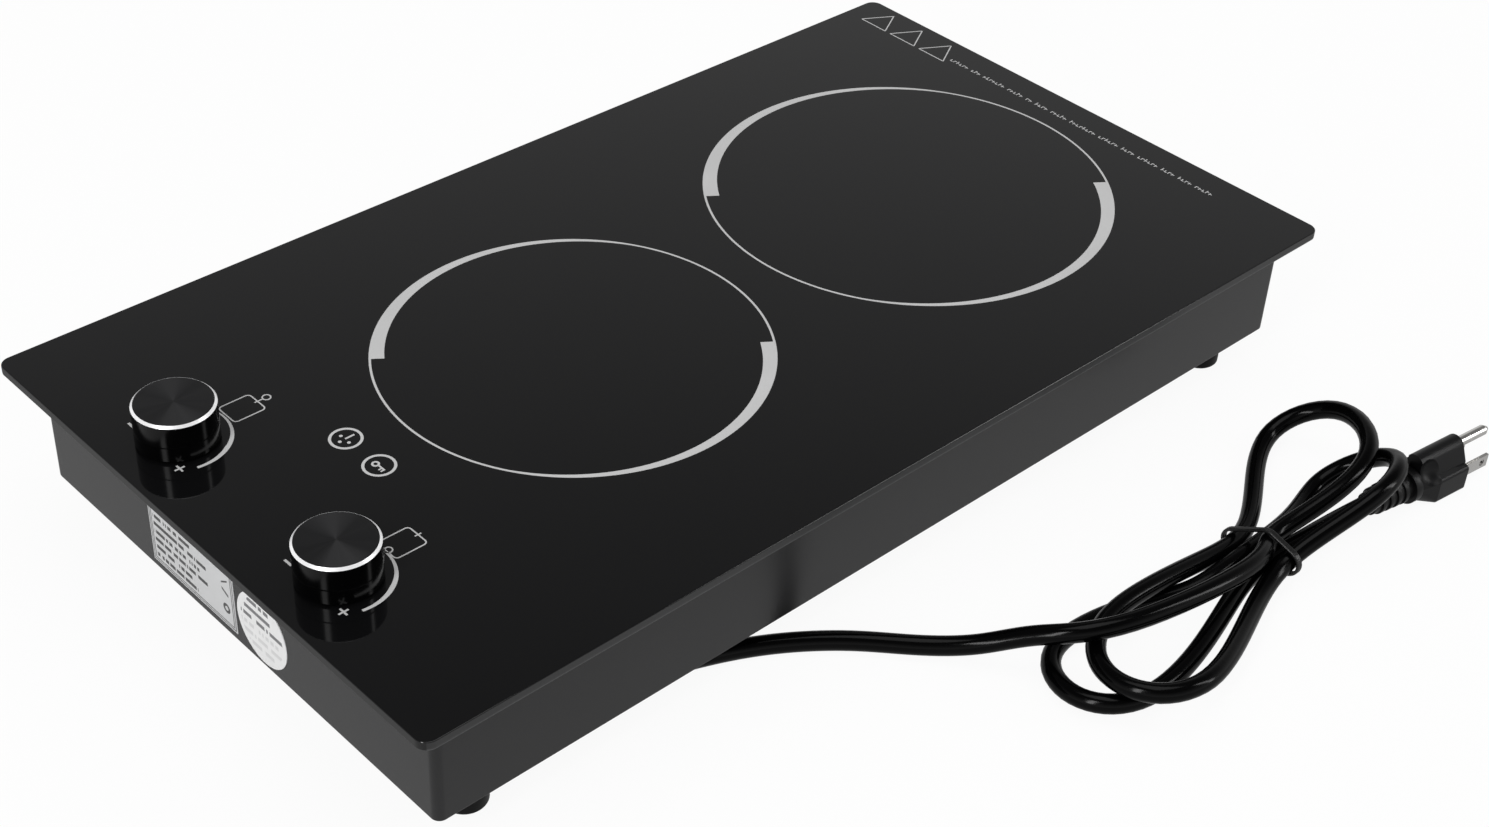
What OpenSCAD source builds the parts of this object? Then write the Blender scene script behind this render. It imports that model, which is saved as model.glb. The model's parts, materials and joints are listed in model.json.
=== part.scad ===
// Two-zone glass-ceramic cooktop with two turning knobs, two touch keys and a tied
// mains cord. Millimetres. The front is -Y, the right is +X and up is +Z. The origin
// is on the floor under the middle of the glass.

/* [Cooking zones] */
// Outer radius of the printed circle of the front zone
front_zone_r = 85; // [70:1:92]
// Outer radius of the printed circle of the rear zone
rear_zone_r = 95.8; // [75:0.1:100]
// How far a heater reaches past the printed circle of its zone
heater_margin = 2.2; // [1:0.1:5]
// Free space between the two heaters
heater_gap = 16; // [12:0.5:40]
// Free space between the heat shield and the front heater
shield_gap = 4.2; // [2:0.1:15]
// Free space between the rear heater and the glass frame
rear_gap = 2.9; // [1:0.1:20]

/* [Glass] */
// Width of the glass, left to right
glass_w = 288; // [280:1:330]
// Thickness of the glass
glass_t = 4; // [3:0.1:6]
// Radius of the glass corners
glass_corner_r = 5.5; // [3:0.5:20]
// How far the glass stands past the housing at each side
side_overhang = 12; // [6:0.5:15]
// How far the glass stands past the housing at the front
front_overhang = 12.4; // [6:0.1:18]
// How far the glass stands past the housing at the rear
rear_overhang = 10.6; // [6:0.1:18]
// Thickness of the silicone seal under the glass
seal_t = 1; // [0.5:0.1:2]

/* [Housing] */
// Height of the housing
pan_h = 51.6; // [48:0.1:65]
// Thickness of the housing sheet
pan_t = 1; // [0.8:0.1:1.5]
// Outer radius of the upright corners of the housing
pan_corner_r = 4; // [2.5:0.5:12]
// Depth of the control bay, front wall to heat shield
bay_l = 81; // [78:0.5:100]
// Width of a vent slot
vent_w = 3; // [2:0.25:3.75]
// Length of a vent slot in the floor
floor_vent_l = 34; // [15:1:45]
// Length of a vent slot in the rear wall
rear_vent_l = 22; // [10:1:26]
// Distance between neighbouring vent slots
vent_pitch = 8; // [6:0.5:14]
// Number of vent slots in the rear wall
rear_vents = 18; // [6:1:22]
// Number of rows of vent slots under each heater
floor_vents = 11; // [4:1:14]

/* [Glass frame] */
// Width of the flange that carries the glass
frame_w = 10; // [9.5:0.1:10.5]
// Height of the upright leg of the frame
frame_leg = 11; // [6:0.5:14]
// Thickness of the frame sheet
frame_t = 1; // [0.8:0.1:1.5]
// Clearance between the frame and the housing wall
frame_clear = 0.3; // [0.2:0.05:0.6]
// Radius of a frame post
post_r = 4; // [3.5:0.1:4.3]

/* [Feet] */
// Height of a rubber foot
foot_h = 16.9; // [15:0.1:25]
// Radius of a rubber foot
foot_r = 9.3; // [8:0.1:11]
// Distance from the side of the housing to a foot's centre
foot_side = 17; // [14:0.5:24]
// Distance from the front or rear of the housing to a foot's centre
foot_end = 24.7; // [20:0.1:27]
// Radius of the screw recess in a foot
foot_recess_r = 5.5; // [4.5:0.1:6.5]
// Depth of the screw recess in a foot
foot_recess_h = 8; // [5:0.5:10]
// Height of the chamfer round a foot's lower edge
foot_edge = 1.5; // [0.5:0.1:2]

/* [Screws] */
// Radius of the thread of the large screws
screw_r = 1.95; // [1.5:0.05:2.2]
// Radius of the head of the large screws
screw_head_r = 3.6; // [3:0.1:4]
// Height of the head of the large screws
screw_head_h = 2.4; // [1.8:0.1:3]
// Radius of the thread of the board screws
board_screw_r = 1.45; // [1:0.05:1.6]
// Radius of the head of the board screws
board_head_r = 2.8; // [2:0.1:3]
// Height of the nuts under the feet's screws
nut_h = 3.2; // [2.5:0.1:4]
// Width of those nuts across the flats
nut_flats = 7; // [6.5:0.1:8]
// Gap round a screw in its hole
screw_clear = 0.25; // [0.15:0.05:0.4]
// Gap between a thread and its tapped hole
thread_clear = 0.05; // [0.02:0.01:0.1]

/* [Knobs] */
// Distance between the two knob axes
knob_pitch = 108; // [90:1:120]
// Distance from the glass's front edge to the knob axes
knob_inset = 29; // [28.5:0.1:31]
// Diameter of a knob
knob_d = 33.5; // [26:0.5:40]
// Height of a knob with its cap
knob_h = 17; // [14:0.5:24]
// Gap between a knob and the glass
knob_lift = 1; // [0.6:0.1:2]
// Height of the skirt under the knob's groove
knob_skirt = 6.5; // [4:0.1:8]
// Width of the knob's groove
knob_groove_w = 0.5; // [0.3:0.1:1]
// Depth of the knob's groove
knob_groove_d = 0.35; // [0.2:0.05:0.8]
// Thickness of the knob's side wall
knob_wall = 2; // [1.5:0.1:3]
// Thickness of the knob's top wall
knob_roof = 2.2; // [1.5:0.1:3]
// Radius of the hub inside a knob
knob_hub_r = 5.5; // [5:0.1:7]
// Thickness of the aluminium cap
cap_t = 1.8; // [1.4:0.1:3]
// Width of the bright chamfer round the cap
cap_chamfer = 1.3; // [0.6:0.1:1.3]

/* [Rotary controls] */
// Radius of a control shaft
shaft_r = 3; // [2.5:0.05:3.2]
// Depth of the flat on the shaft's upper end
shaft_flat = 1.4; // [0.8:0.1:1.6]
// Running clearance between shaft and bush
shaft_clear = 0.05; // [0.02:0.01:0.1]
// Press clearance between shaft and knob hub
hub_clear = 0.02; // [0.01:0.01:0.05]
// Radius of the hole in the glass round a shaft
glass_hole_r = 5; // [4:0.1:6]
// Radius of the threaded bush
bush_r = 3.9; // [3.8:0.05:4.3]
// Height of the threaded bush
bush_h = 8; // [6:0.5:8.5]
// Radius of the control's case
control_r = 8.5; // [8:0.1:10]
// Height of the control's case
control_h = 12; // [10:0.5:12.5]
// Wall of the control's case
control_wall = 1.5; // [1:0.1:1.8]
// Radius of the wiper disc on the shaft
wiper_r = 6; // [4:0.1:6.2]
// Thickness of the wiper disc
wiper_t = 1.5; // [1:0.1:2]
// Width of the bush nut across the flats
bush_nut_flats = 11; // [10:0.1:12]
// Height of the bush nut
bush_nut_h = 2.5; // [1.5:0.1:3]

/* [Boards] */
// Thickness of a circuit board
board_t = 1.6; // [1:0.1:2]
// Width of the control board
board_w = 150; // [140:1:154]
// Height of the touch-key springs, board to glass
key_spring_h = 23.5; // [22:0.5:25]
// Radius of a touch-key spring, to its wire's centre
key_spring_r = 4; // [3:0.1:5]
// Radius of the spring's wire
key_wire_r = 0.5; // [0.3:0.05:0.6]
// Distance from the glass's front edge to the touch keys
key_inset = 78.8; // [76:0.1:80]
// Distance between the two touch keys
key_pitch = 22.2; // [16:0.1:40]
// How far the middle between the keys lies left of the middle of the glass
key_shift = 0.9; // [0:0.1:5]
// Width of the power board
power_w = 128; // [110:1:129]
// Depth of the power board
power_l = 60; // [56:1:62]
// Height of the pillars under the power board
power_lift = 6; // [5:0.5:7]
// Radius of the pillars under the boards
pillar_r = 3; // [2.5:0.1:3]
// Distance from a board's edge to its pillars' centres
pillar_inset = 5; // [4:0.1:6]
// Sheet thickness of bracket, shield and heater bars
strip_t = 1.2; // [0.8:0.1:1.5]
// Width of the bridge that holds the rotary controls
bracket_w = 168; // [160:1:176]
// Depth of the bridge
bracket_l = 27; // [24:0.5:28]
// Width of the bridge's feet
bracket_foot = 14; // [11:0.5:16]

/* [Heaters] */
// Height of a heater, dish to glass
heater_h = 32; // [28:0.5:36]
// Sheet thickness of a heater's dish
dish_t = 0.8; // [0.5:0.1:1.2]
// How far the insulation ring stands above its dish
ring_lip = 2; // [1.9:0.1:2.1]
// Thickness of the insulation ring's wall
ring_wall = 11; // [8:0.5:16]
// Thickness of the insulation disc
base_t = 14; // [8:0.5:16]
// Height of the heating ribbon
ribbon_h = 5; // [3:0.5:5]
// Thickness of the heating ribbon
ribbon_t = 0.7; // [0.5:0.1:1]
// Width of the ribbon's corrugation
ribbon_wave = 4; // [2:0.5:5]
// Distance between neighbouring turns of the ribbon
ribbon_pitch = 13; // [10:0.5:18]
// Radius of the limiter's rod
rod_r = 2.2; // [1.5:0.1:2.4]
// Distance from the glass to the limiter rod's centre
rod_drop = 7.5; // [7:0.1:7.7]
// Length of the limiter's head
limiter_l = 20; // [14:0.5:20]
// Width of the limiter's head
limiter_w = 18; // [14:0.5:24]
// Height of the limiter's head
limiter_h = 11; // [9:0.5:12]
// Half the length of a heater bar
bar_half = 108; // [104:1:112]
// Length of each flat foot of a heater bar
bar_foot = 20; // [14:0.5:22]
// Width of a heater bar
bar_w = 16; // [12:0.5:20]

/* [Mains cord and plug] */
// Diameter of the cord
cord_d = 8.4; // [6:0.1:8.6]
// Radius of the strain relief at its root
boot_r = 6.5; // [5.5:0.1:7]
// Radius of the strain relief where the cord leaves it
boot_tip_r = 5.2; // [4.6:0.1:5.4]
// Length of the strain relief
boot_l = 32; // [25:0.5:40]
// Length of the plug's body that has the full section
plug_grip_l = 18.5; // [15:0.5:22]
// Radius of the plug's collar
plug_collar_r = 8.5; // [7:0.1:9]
// Radius of the plug's relief where it meets the collar
plug_relief_r = 6.5; // [5.5:0.1:7]
// Distance between the centres of the two blades
blade_pitch = 12.7; // [12.5:0.1:12.9]
// Height of a blade
blade_h = 6.35; // [6:0.05:7]
// Thickness of a blade
blade_t = 1.5; // [1.4:0.05:1.65]
// Length of a blade
blade_l = 17.5; // [15.9:0.1:18.3]
// Radius of the ground pin
pin_r = 2.4; // [2.3:0.05:2.5]
// Length of the ground pin
pin_l = 21; // [20:0.1:22]
// Distance from the blades' centre line to the ground pin's centre
pin_rise = 11.9; // [11.7:0.1:12.1]

/* [Labels] */
// Width of the rating plate
rating_w = 59.7; // [40:0.1:80]
// Height of the rating plate
rating_h = 37; // [25:0.5:40]
// Distance from the middle of the glass to the rating plate's centre, to the left
rating_left = 24.4; // [0:0.1:60]
// Distance from the housing's lower edge to the plate
rating_rise = 4.2; // [1:0.1:8]
// Radius of the round sticker
sticker_r = 16.5; // [10:0.5:20]
// Distance from the middle of the glass to the sticker's centre, to the right
sticker_right = 23.7; // [22.5:0.1:60]
// Distance from the housing's lower edge to the sticker's centre
sticker_rise = 18.8; // [17:0.1:22]
// Thickness of a label
label_t = 0.3; // [0.1:0.05:0.5]

/* [Hidden] */

$fn = 64;
LEFT = -1;
RIGHT = 1;
FRONT = "front";
REAR = "rear";
SIDES = [LEFT, RIGHT];
eps = 0.5;          // how far a cut runs past the face it opens
part_clear = 0.2;   // gap between pieces that slip into each other

// Heights, from the floor up
floor_z = foot_h + pan_t;
pan_top = foot_h + pan_h;
glass_z = pan_top + seal_t;
glass_top = glass_z + glass_t;
knob_z = glass_top + knob_lift;
board_z = glass_z - key_spring_h;
bracket_z = board_z + control_h;
bush_top = bracket_z + bush_h;
power_z = floor_z + power_lift + board_t;
dish_z = glass_z - heater_h;
base_top = dish_z + dish_t + base_t;
rod_z = glass_z - rod_drop;

// Plan of the glass, the housing and what stands in it, front to rear
front_heater_r = front_zone_r + heater_margin;
rear_heater_r = rear_zone_r + heater_margin;
frame_edge = pan_t + frame_clear + frame_w;
glass_l = front_overhang + bay_l + strip_t + shield_gap + 2 * front_heater_r + heater_gap
    + 2 * rear_heater_r + rear_gap + frame_edge + rear_overhang;
glass_front = -glass_l / 2;
pan_front = glass_front + front_overhang;
pan_rear = glass_l / 2 - rear_overhang;
pan_w = glass_w - 2 * side_overhang;
pan_l = pan_rear - pan_front;
pan_y = (pan_front + pan_rear) / 2;
shield_y = pan_front + bay_l;
front_zone_y = shield_y + strip_t + shield_gap + front_heater_r;
rear_zone_y = front_zone_y + front_heater_r + heater_gap + rear_heater_r;
knob_y = glass_front + knob_inset;
key_y = glass_front + key_inset;
knob_r = knob_d / 2;

// Glass frame and its posts
frame_out_w = pan_w - 2 * (pan_t + frame_clear);
frame_out_l = pan_l - 2 * (pan_t + frame_clear);
post_edge = frame_t + part_clear + post_r;
post_x = frame_out_w / 2 - post_edge;
post_ys = [
    pan_y - frame_out_l / 2 + post_edge,
    front_zone_y + front_heater_r + heater_gap / 2,
    pan_y + frame_out_l / 2 - post_edge
];
case_screw_l = 12;

// Feet
foot_x = pan_w / 2 - foot_side;
foot_ys = [pan_front + foot_end, pan_rear - foot_end];
foot_screw_l = floor_z - foot_recess_h + nut_h + 1.5;

// Sheet screws through the floor of the housing
floor_screw_l = 4;
bracket_y = pan_front + pan_t + frame_clear + frame_t + 1.3;
bracket_screw_x = (bracket_w + bracket_foot) / 2;
bracket_screw_ys = [bracket_y + bracket_l / 4, bracket_y + bracket_l * 3 / 4];
shield_tab_w = 16;
shield_tab_l = 10;
shield_tab_x = 84;
shield_w = pan_w - 14;
shield_notch_w = 24;
shield_notch_h = 22;
shield_notch_x = shield_w / 2 - 3 - shield_notch_w;
shield_top = pan_top - frame_t - 1;
bar_screw_x = bar_half - bar_foot / 2;
bar_spread = 0.5;   // place of a bar, as a share of its heater's radius

// Boards
board_front = pan_front + pan_t + 2.6;
board_rear = key_y + 10;
board_l = board_rear - board_front;
board_y = (board_front + board_rear) / 2;
power_y = shield_y - 10 - power_l / 2;
board_screw_l = 6;
board_head_h = 2;
board_pillar = [board_w / 2 - pillar_inset, board_l / 2 - pillar_inset];
power_pillar = [power_w / 2 - pillar_inset, power_l / 2 - pillar_inset];
control_pin_r = 0.5;
control_pin_ring = 6;
relay_size = [19, 15.5, 15.5];
relay_count = 2;
relay_gap = 5;
relay_terminal_gap = 9;
transformer_core = [34, 16, 17];
transformer_coil = [22, 28, 14];
fuse_r = 2.6;
fuse_l = 20;
terminal_size = [46, 12, 13];
terminal_x = power_w / 2 - 10 - terminal_size[0];
terminal_y = power_y + power_l / 2 - 6 - terminal_size[1];
terminal_ways = 4;
terminal_pitch = terminal_size[0] / terminal_ways;

// Wires inside the housing
wire_r = 1.4;
wire_sides = 6;
wire_pitch = 3.2;   // from one wire's height to the next
lane_pitch = 4.5;   // from one wire's lane to the next
wire_stub = 5;      // straight end of a wire at the terminal
wire_turn = 12;     // room in which a wire turns towards the aisle
aisle_gap = 3.3;    // from the wires' aisle to the heat shield
notch_gap = 5;      // from the notch's edge to the first lane
wire_rise = 26;     // length over which a wire climbs to its limiter
lane_lead = 9;      // from a wire's bend to its lane
shield_pass = 8;    // straight length of a wire behind the heat shield
hook_rise = 6;      // height at which a wire comes under its limiter
hook_drop = 8;      // straight upright end of a wire at its limiter

// Limiters
limiter_gap = 0.3;
wire_shares = [0.25, 0.55];   // places of a limiter's two wires, as shares of its head

// Centre line of the mains cord, from the strain relief to the plug
cord_route = [
    [107, -150, 7.2], [113, -116, 4.6], [127, -80, 4.5], [149, -50, 4.5], [168, -34, 4.5],
    [188, -15, 6.5], [204, -2, 18], [232, 13, 26.5], [241, 105, 20], [226, 118, 14],
    [230, 140, 17.5], [238, 189, 31], [196, 219, 25], [171, 192, 6.5], [196, 156, 4.5],
    [216, 126, 5], [215, 94, 9.5], [214, 58, 15], [214, 26, 15], [229, 4, 14.5],
    [254, 2, 16], [273, 27, 18], [247, 86, 7.5], [236, 121, 10.5], [254, 159, 32.5],
    [246, 193, 33.5], [223, 200, 17], [210, 180, 4.5], [221, 154, 4.5], [225, 104, 11.5],
    [223, 78, 4.5], [209, 55, 4.5], [201, 4, 4.5], [230, -11, 4.5], [255, 6, 7.5],
    [250, 49, 8.5], [234, 94, 8.5], [231, 116, 6.5], [235, 155, 9], [238, 180, 9]
];
cord_sides = 10;
cord_steps = 2;     // rings from one route point to the next
// The wire tie goes round these five strands, as [x, z] in its plane
tie_y = 118;
tie_strands = [[229.7, 15.7], [214.2, 6.4], [240.6, 12.6], [223.6, 8.8], [232.2, 7.2]];
tie_t = 1.4;
tie_w = 3;
tie_clear = 0.9;

// Strain relief under the housing: it points the way that the cord leaves
boot_dir = unit(cord_route[1] - cord_route[0]);
boot_root = cord_route[0] - boot_l * boot_dir;
boot_neck_top = floor_z + 6;
boot_flange_t = 1.5;
boot_flange_r = boot_r + 2.5;
collar_t = 2.5;
collar_r = boot_r + 3;
boot_ribs = 5;
boot_rib_t = 1.6;
boot_rib_h = 0.7;

// Plug, from the end of the cord to its face. It lies on the floor and points the way
// that the cord's end does.
plug_tip = cord_route[len(cord_route) - 1];
plug_aim = plug_tip - cord_route[len(cord_route) - 2];
plug_z = plug_tip[2];
plug_relief_l = 23;
plug_collar_l = 4;
plug_shoulder_l = 9.5;
plug_ribs = 4;
plug_rib_t = 2.2;
plug_rib_pitch = 4.6;
shoulder_end = plug_relief_l + plug_collar_l + plug_shoulder_l;
plug_face = shoulder_end + plug_grip_l;
plug_face_step = 0.6;     // the pin's face stands this far before the blades' face
plug_block = [21, 13.3];  // width and height of the block that holds the blades
plug_block_r = 2;
plug_crown_r = 4.8;
plug_crown_w = 15;        // width of the crown where it meets the block
blade_z = 7;
pin_z = blade_z + pin_rise;
blade_hole_r = 1.6;
blade_hole_end = 4;
scoop_r = 8;              // finger scoop at each side of the crown
scoop_x = 10.8;
scoop_back = 5;           // from the end of the shoulder back to the scoop's centre

// Larger than anything here
far = 1000;

// ---------------------------------------------------------------- helpers

function unit(v) = v / norm(v);

// Point of a uniform cubic B-spline between its control points b and c
function spline_point(a, b, c, d, s) =
    (pow(1 - s, 3) * a + (3 * pow(s, 3) - 6 * s * s + 4) * b
        + (-3 * pow(s, 3) + 3 * s * s + 3 * s + 1) * c + pow(s, 3) * d) / 6;

// Smooth line that starts and ends exactly on the first and last control point
function spline(points, steps) =
    let (n = len(points),
         p = concat([2 * points[0] - points[1]], points, [2 * points[n - 1] - points[n - 2]]))
    concat(
        [for (i = [0 : n - 2], k = [0 : steps - 1])
            spline_point(p[i], p[i + 1], p[i + 2], p[i + 3], k / steps)],
        [points[n - 1]]);

// Direction of a line at its point i
function heading(line, i) =
    unit(line[min(i + 1, len(line) - 1)] - line[max(i - 1, 0)]);

// Ring of a tube's skin round point i of its centre line
function tube_ring(line, i, r, sides) =
    let (t = heading(line, i),
         side = unit(cross(t, abs(t[2]) < 0.95 ? [0, 0, 1] : [0, 1, 0])),
         up = cross(side, t))
    [for (k = [0 : sides - 1])
        line[i] + r * (cos(360 * k / sides) * side + sin(360 * k / sides) * up)];

module tube(line, r, sides) {
    rings = len(line);
    points = [for (i = [0 : rings - 1]) each tube_ring(line, i, r, sides)];
    skin = [for (i = [0 : rings - 2], k = [0 : sides - 1])
        [i * sides + k, i * sides + (k + 1) % sides,
            (i + 1) * sides + (k + 1) % sides, (i + 1) * sides + k]];
    first = [for (k = [sides - 1 : -1 : 0]) k];
    last = [for (k = [0 : sides - 1]) (rings - 1) * sides + k];
    polyhedron(points = points, faces = concat([first], skin, [last]), convexity = 10);
}

module rounded_rect(w, l, r) {
    square([w - 2 * r, l], center = true);
    square([w, l - 2 * r], center = true);
    for (x = SIDES, y = SIDES)
        translate([x * (w / 2 - r), y * (l / 2 - r)]) circle(r = r);
}

module slot(l, w) {
    square([l - w, w], center = true);
    for (x = SIDES) translate([x * (l - w) / 2, 0]) circle(r = w / 2, $fn = 24);
}

module at_feet() for (x = SIDES, y = foot_ys) translate([x * foot_x, y, 0]) children();

module at_posts() for (x = SIDES, y = post_ys) translate([x * post_x, y, 0]) children();

module at_knob(side) translate([side * knob_pitch / 2, knob_y, 0]) children();

module at_keys()
    for (x = SIDES) translate([x * key_pitch / 2 - key_shift, key_y, 0]) children();

module at_pillars(pillar, y)
    for (i = SIDES, k = SIDES) translate([i * pillar[0], y + k * pillar[1], 0]) children();

function zone_y(place) = place == FRONT ? front_zone_y : rear_zone_y;
function heater_r(place) = place == FRONT ? front_heater_r : rear_heater_r;

module at_bars(place)
    for (k = SIDES) translate([0, zone_y(place) + k * bar_spread * heater_r(place), 0])
        children();

module at_floor_screws() {
    for (place = [FRONT, REAR]) at_bars(place)
        for (x = SIDES) translate([x * bar_screw_x, 0, 0]) children();
    for (x = SIDES, y = bracket_screw_ys) translate([x * bracket_screw_x, y, 0]) children();
    for (x = [-1, 0, 1]) translate([x * shield_tab_x, shield_y - shield_tab_l / 2, 0])
        children();
}

// Screw with its head below z = 0 and its thread above; a cross is cut in the head
module screw(r, head_r, head_h, l) {
    recess_w = 0.9;
    difference() {
        union() {
            translate([0, 0, -head_h]) cylinder(r = head_r, h = head_h, $fn = 32);
            cylinder(r = r, h = l, $fn = 32);
        }
        for (a = [0, 90]) rotate([0, 0, a])
            translate([-head_r * 0.6, -recess_w / 2, -head_h - eps])
                cube([head_r * 1.2, recess_w, head_h * 0.5 + eps]);
    }
}

module hex_nut(flats, h, bore_r) {
    difference() {
        cylinder(r = flats / 2 / cos(30), h = h, $fn = 6);
        translate([0, 0, -eps]) cylinder(r = bore_r, h = h + 2 * eps, $fn = 32);
    }
}

module pillar(h, bore_r) {
    difference() {
        cylinder(r = pillar_r, h = h, $fn = 32);
        translate([0, 0, -eps]) cylinder(r = bore_r, h = h + 2 * eps, $fn = 24);
    }
}

// Shaft outline with a flat on its rear side
module flatted_circle(r, flat_y) {
    intersection() {
        circle(r = r);
        translate([-2 * r, -2 * r]) square([4 * r, 2 * r + flat_y]);
    }
}

// ---------------------------------------------------------------- glass and housing

module glass_plate() color("#161618") {
    translate([0, 0, glass_z]) difference() {
        linear_extrude(glass_t) rounded_rect(glass_w, glass_l, glass_corner_r);
        for (side = SIDES) at_knob(side)
            translate([0, 0, -eps]) cylinder(r = glass_hole_r, h = glass_t + 2 * eps);
    }
}

module glass_seal() color("#2a2a2a") {
    seal_margin = 1.5;
    w = pan_w - 2 * seal_margin;
    l = pan_l - 2 * seal_margin;
    bead = frame_edge - 2 * seal_margin;
    translate([0, pan_y, pan_top]) linear_extrude(seal_t) difference() {
        rounded_rect(w, l, pan_corner_r - pan_t);
        rounded_rect(w - 2 * bead, l - 2 * bead, 1);
    }
}

module glass_frame() color("#9a9da0") {
    outer_r = pan_corner_r - pan_t;
    translate([0, pan_y, 0]) {
        translate([0, 0, pan_top - frame_t]) linear_extrude(frame_t) difference() {
            rounded_rect(frame_out_w, frame_out_l, outer_r);
            rounded_rect(frame_out_w - 2 * frame_w, frame_out_l - 2 * frame_w, 1);
        }
        translate([0, 0, pan_top - frame_leg]) linear_extrude(frame_leg) difference() {
            rounded_rect(frame_out_w, frame_out_l, outer_r);
            rounded_rect(frame_out_w - 2 * frame_t, frame_out_l - 2 * frame_t,
                outer_r - min(frame_t, outer_r / 2));
        }
    }
}

module frame_posts() color("#b5b8bb") {
    post_h = pan_top - frame_t - floor_z;
    bore_h = case_screw_l - pan_t + 2;
    at_posts() translate([0, 0, floor_z]) difference() {
        cylinder(r = post_r, h = post_h, $fn = 32);
        translate([0, 0, -eps]) cylinder(r = screw_r + thread_clear, h = bore_h + eps, $fn = 32);
    }
}

module case_screws() color("#c8c8c8")
    at_posts() translate([0, 0, foot_h])
        screw(screw_r, screw_head_r, screw_head_h, case_screw_l);

module floor_holes() {
    hole_h = pan_t + 2 * eps;
    at_posts() cylinder(r = screw_r + screw_clear, h = hole_h, $fn = 32);
    at_feet() cylinder(r = screw_r + screw_clear, h = hole_h, $fn = 32);
    at_floor_screws() cylinder(r = screw_r + thread_clear, h = hole_h, $fn = 32);
    translate([boot_root[0], boot_root[1], 0]) cylinder(r = boot_r + part_clear, h = hole_h);
}

module floor_vent_slots() {
    for (place = [FRONT, REAR], i = [0 : floor_vents - 1], x = SIDES)
        translate([x * floor_vent_l * 0.75,
                zone_y(place) + (i - (floor_vents - 1) / 2) * vent_pitch, 0])
            linear_extrude(pan_t + 2 * eps) slot(floor_vent_l, vent_w);
}

module rear_vent_slots() {
    for (i = [0 : rear_vents - 1])
        translate([(i - (rear_vents - 1) / 2) * vent_pitch, pan_rear + eps, pan_h / 2 + foot_h])
            rotate([90, 0, 0]) linear_extrude(pan_t + 2 * eps)
                rotate([0, 0, 90]) slot(rear_vent_l, vent_w);
}

module housing_pan() color("#333335") {
    difference() {
        translate([0, pan_y, foot_h]) linear_extrude(pan_h)
            rounded_rect(pan_w, pan_l, pan_corner_r);
        translate([0, pan_y, floor_z]) linear_extrude(pan_h)
            rounded_rect(pan_w - 2 * pan_t, pan_l - 2 * pan_t, pan_corner_r - pan_t);
        translate([0, 0, foot_h - eps]) {
            floor_holes();
            floor_vent_slots();
        }
        rear_vent_slots();
    }
}

module feet() color("#101010") {
    at_feet() difference() {
        union() {
            cylinder(r1 = foot_r - foot_edge, r2 = foot_r, h = foot_edge);
            translate([0, 0, foot_edge]) cylinder(r = foot_r, h = foot_h - foot_edge);
        }
        translate([0, 0, -eps]) cylinder(r = foot_recess_r, h = foot_recess_h + eps);
        cylinder(r = screw_r + screw_clear, h = foot_h + eps, $fn = 32);
    }
}

module foot_screws() color("#c8c8c8")
    at_feet() translate([0, 0, foot_recess_h])
        screw(screw_r, screw_head_r, screw_head_h, foot_screw_l);

module foot_nuts() color("#c8c8c8")
    at_feet() translate([0, 0, floor_z]) hex_nut(nut_flats, nut_h, screw_r + thread_clear);

module rating_plate() color("#c9cbcc")
    translate([-rating_left - rating_w / 2, pan_front - label_t, foot_h + rating_rise])
        cube([rating_w, label_t, rating_h]);

module inspection_sticker() color("#f2f2f2")
    translate([sticker_right, pan_front, foot_h + sticker_rise]) rotate([90, 0, 0])
        cylinder(r = sticker_r, h = label_t);

// ---------------------------------------------------------------- knobs and controls

module knob_body(side) color("#0c0c0d") {
    body_h = knob_h - cap_t;
    grip_z = knob_skirt + knob_groove_w;
    hub_rise = 1.5;
    at_knob(side) translate([0, 0, knob_z]) difference() {
        union() {
            cylinder(r = knob_r, h = knob_skirt);
            cylinder(r = knob_r - knob_groove_d, h = body_h);
            translate([0, 0, grip_z]) cylinder(r = knob_r, h = body_h - grip_z);
        }
        translate([0, 0, -eps]) difference() {
            cylinder(r = knob_r - knob_wall, h = body_h - knob_roof + eps);
            cylinder(r = knob_hub_r, h = body_h);
        }
        translate([0, 0, -eps]) cylinder(r = knob_hub_r + part_clear, h = hub_rise + eps);
        translate([0, 0, -eps]) linear_extrude(body_h - knob_roof + eps)
            flatted_circle(shaft_r + hub_clear, shaft_r - shaft_flat + hub_clear);
    }
}

module knob_cap(side) color("#2c2c2e") {
    at_knob(side) translate([0, 0, knob_z + knob_h - cap_t]) {
        cylinder(r = knob_r, h = cap_t - cap_chamfer);
        translate([0, 0, cap_t - cap_chamfer])
            cylinder(r1 = knob_r, r2 = knob_r - cap_chamfer, h = cap_chamfer);
    }
}

module shaft(side) color("#b9bcc0") {
    bottom = board_z + control_wall + 0.5;
    top = knob_z + knob_h - cap_t - knob_roof - 0.3;
    flat_z = knob_z + 0.5;
    at_knob(side) {
        translate([0, 0, bottom]) cylinder(r = shaft_r, h = flat_z - bottom);
        translate([0, 0, flat_z]) linear_extrude(top - flat_z)
            flatted_circle(shaft_r, shaft_r - shaft_flat);
        translate([0, 0, bottom + 1]) cylinder(r = wiper_r, h = wiper_t);
    }
}

module control_body(side) color("#8d9196") {
    at_knob(side) translate([0, 0, board_z]) difference() {
        union() {
            cylinder(r = control_r, h = control_h);
            cylinder(r = bush_r, h = control_h + bush_h, $fn = 48);
            for (a = [-30, 0, 30]) rotate([0, 0, a])
                translate([0, control_pin_ring, -board_t - 1.5])
                    cylinder(r = control_pin_r, h = board_t + 2, $fn = 16);
        }
        translate([0, 0, control_wall])
            cylinder(r = control_r - control_wall, h = control_h - 2 * control_wall);
        translate([0, 0, control_wall])
            cylinder(r = shaft_r + shaft_clear, h = control_h + bush_h);
    }
}

module control_nut(side) color("#c4c6c8")
    at_knob(side) translate([0, 0, bracket_z + strip_t])
        hex_nut(bush_nut_flats, bush_nut_h, bush_r + thread_clear);

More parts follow.
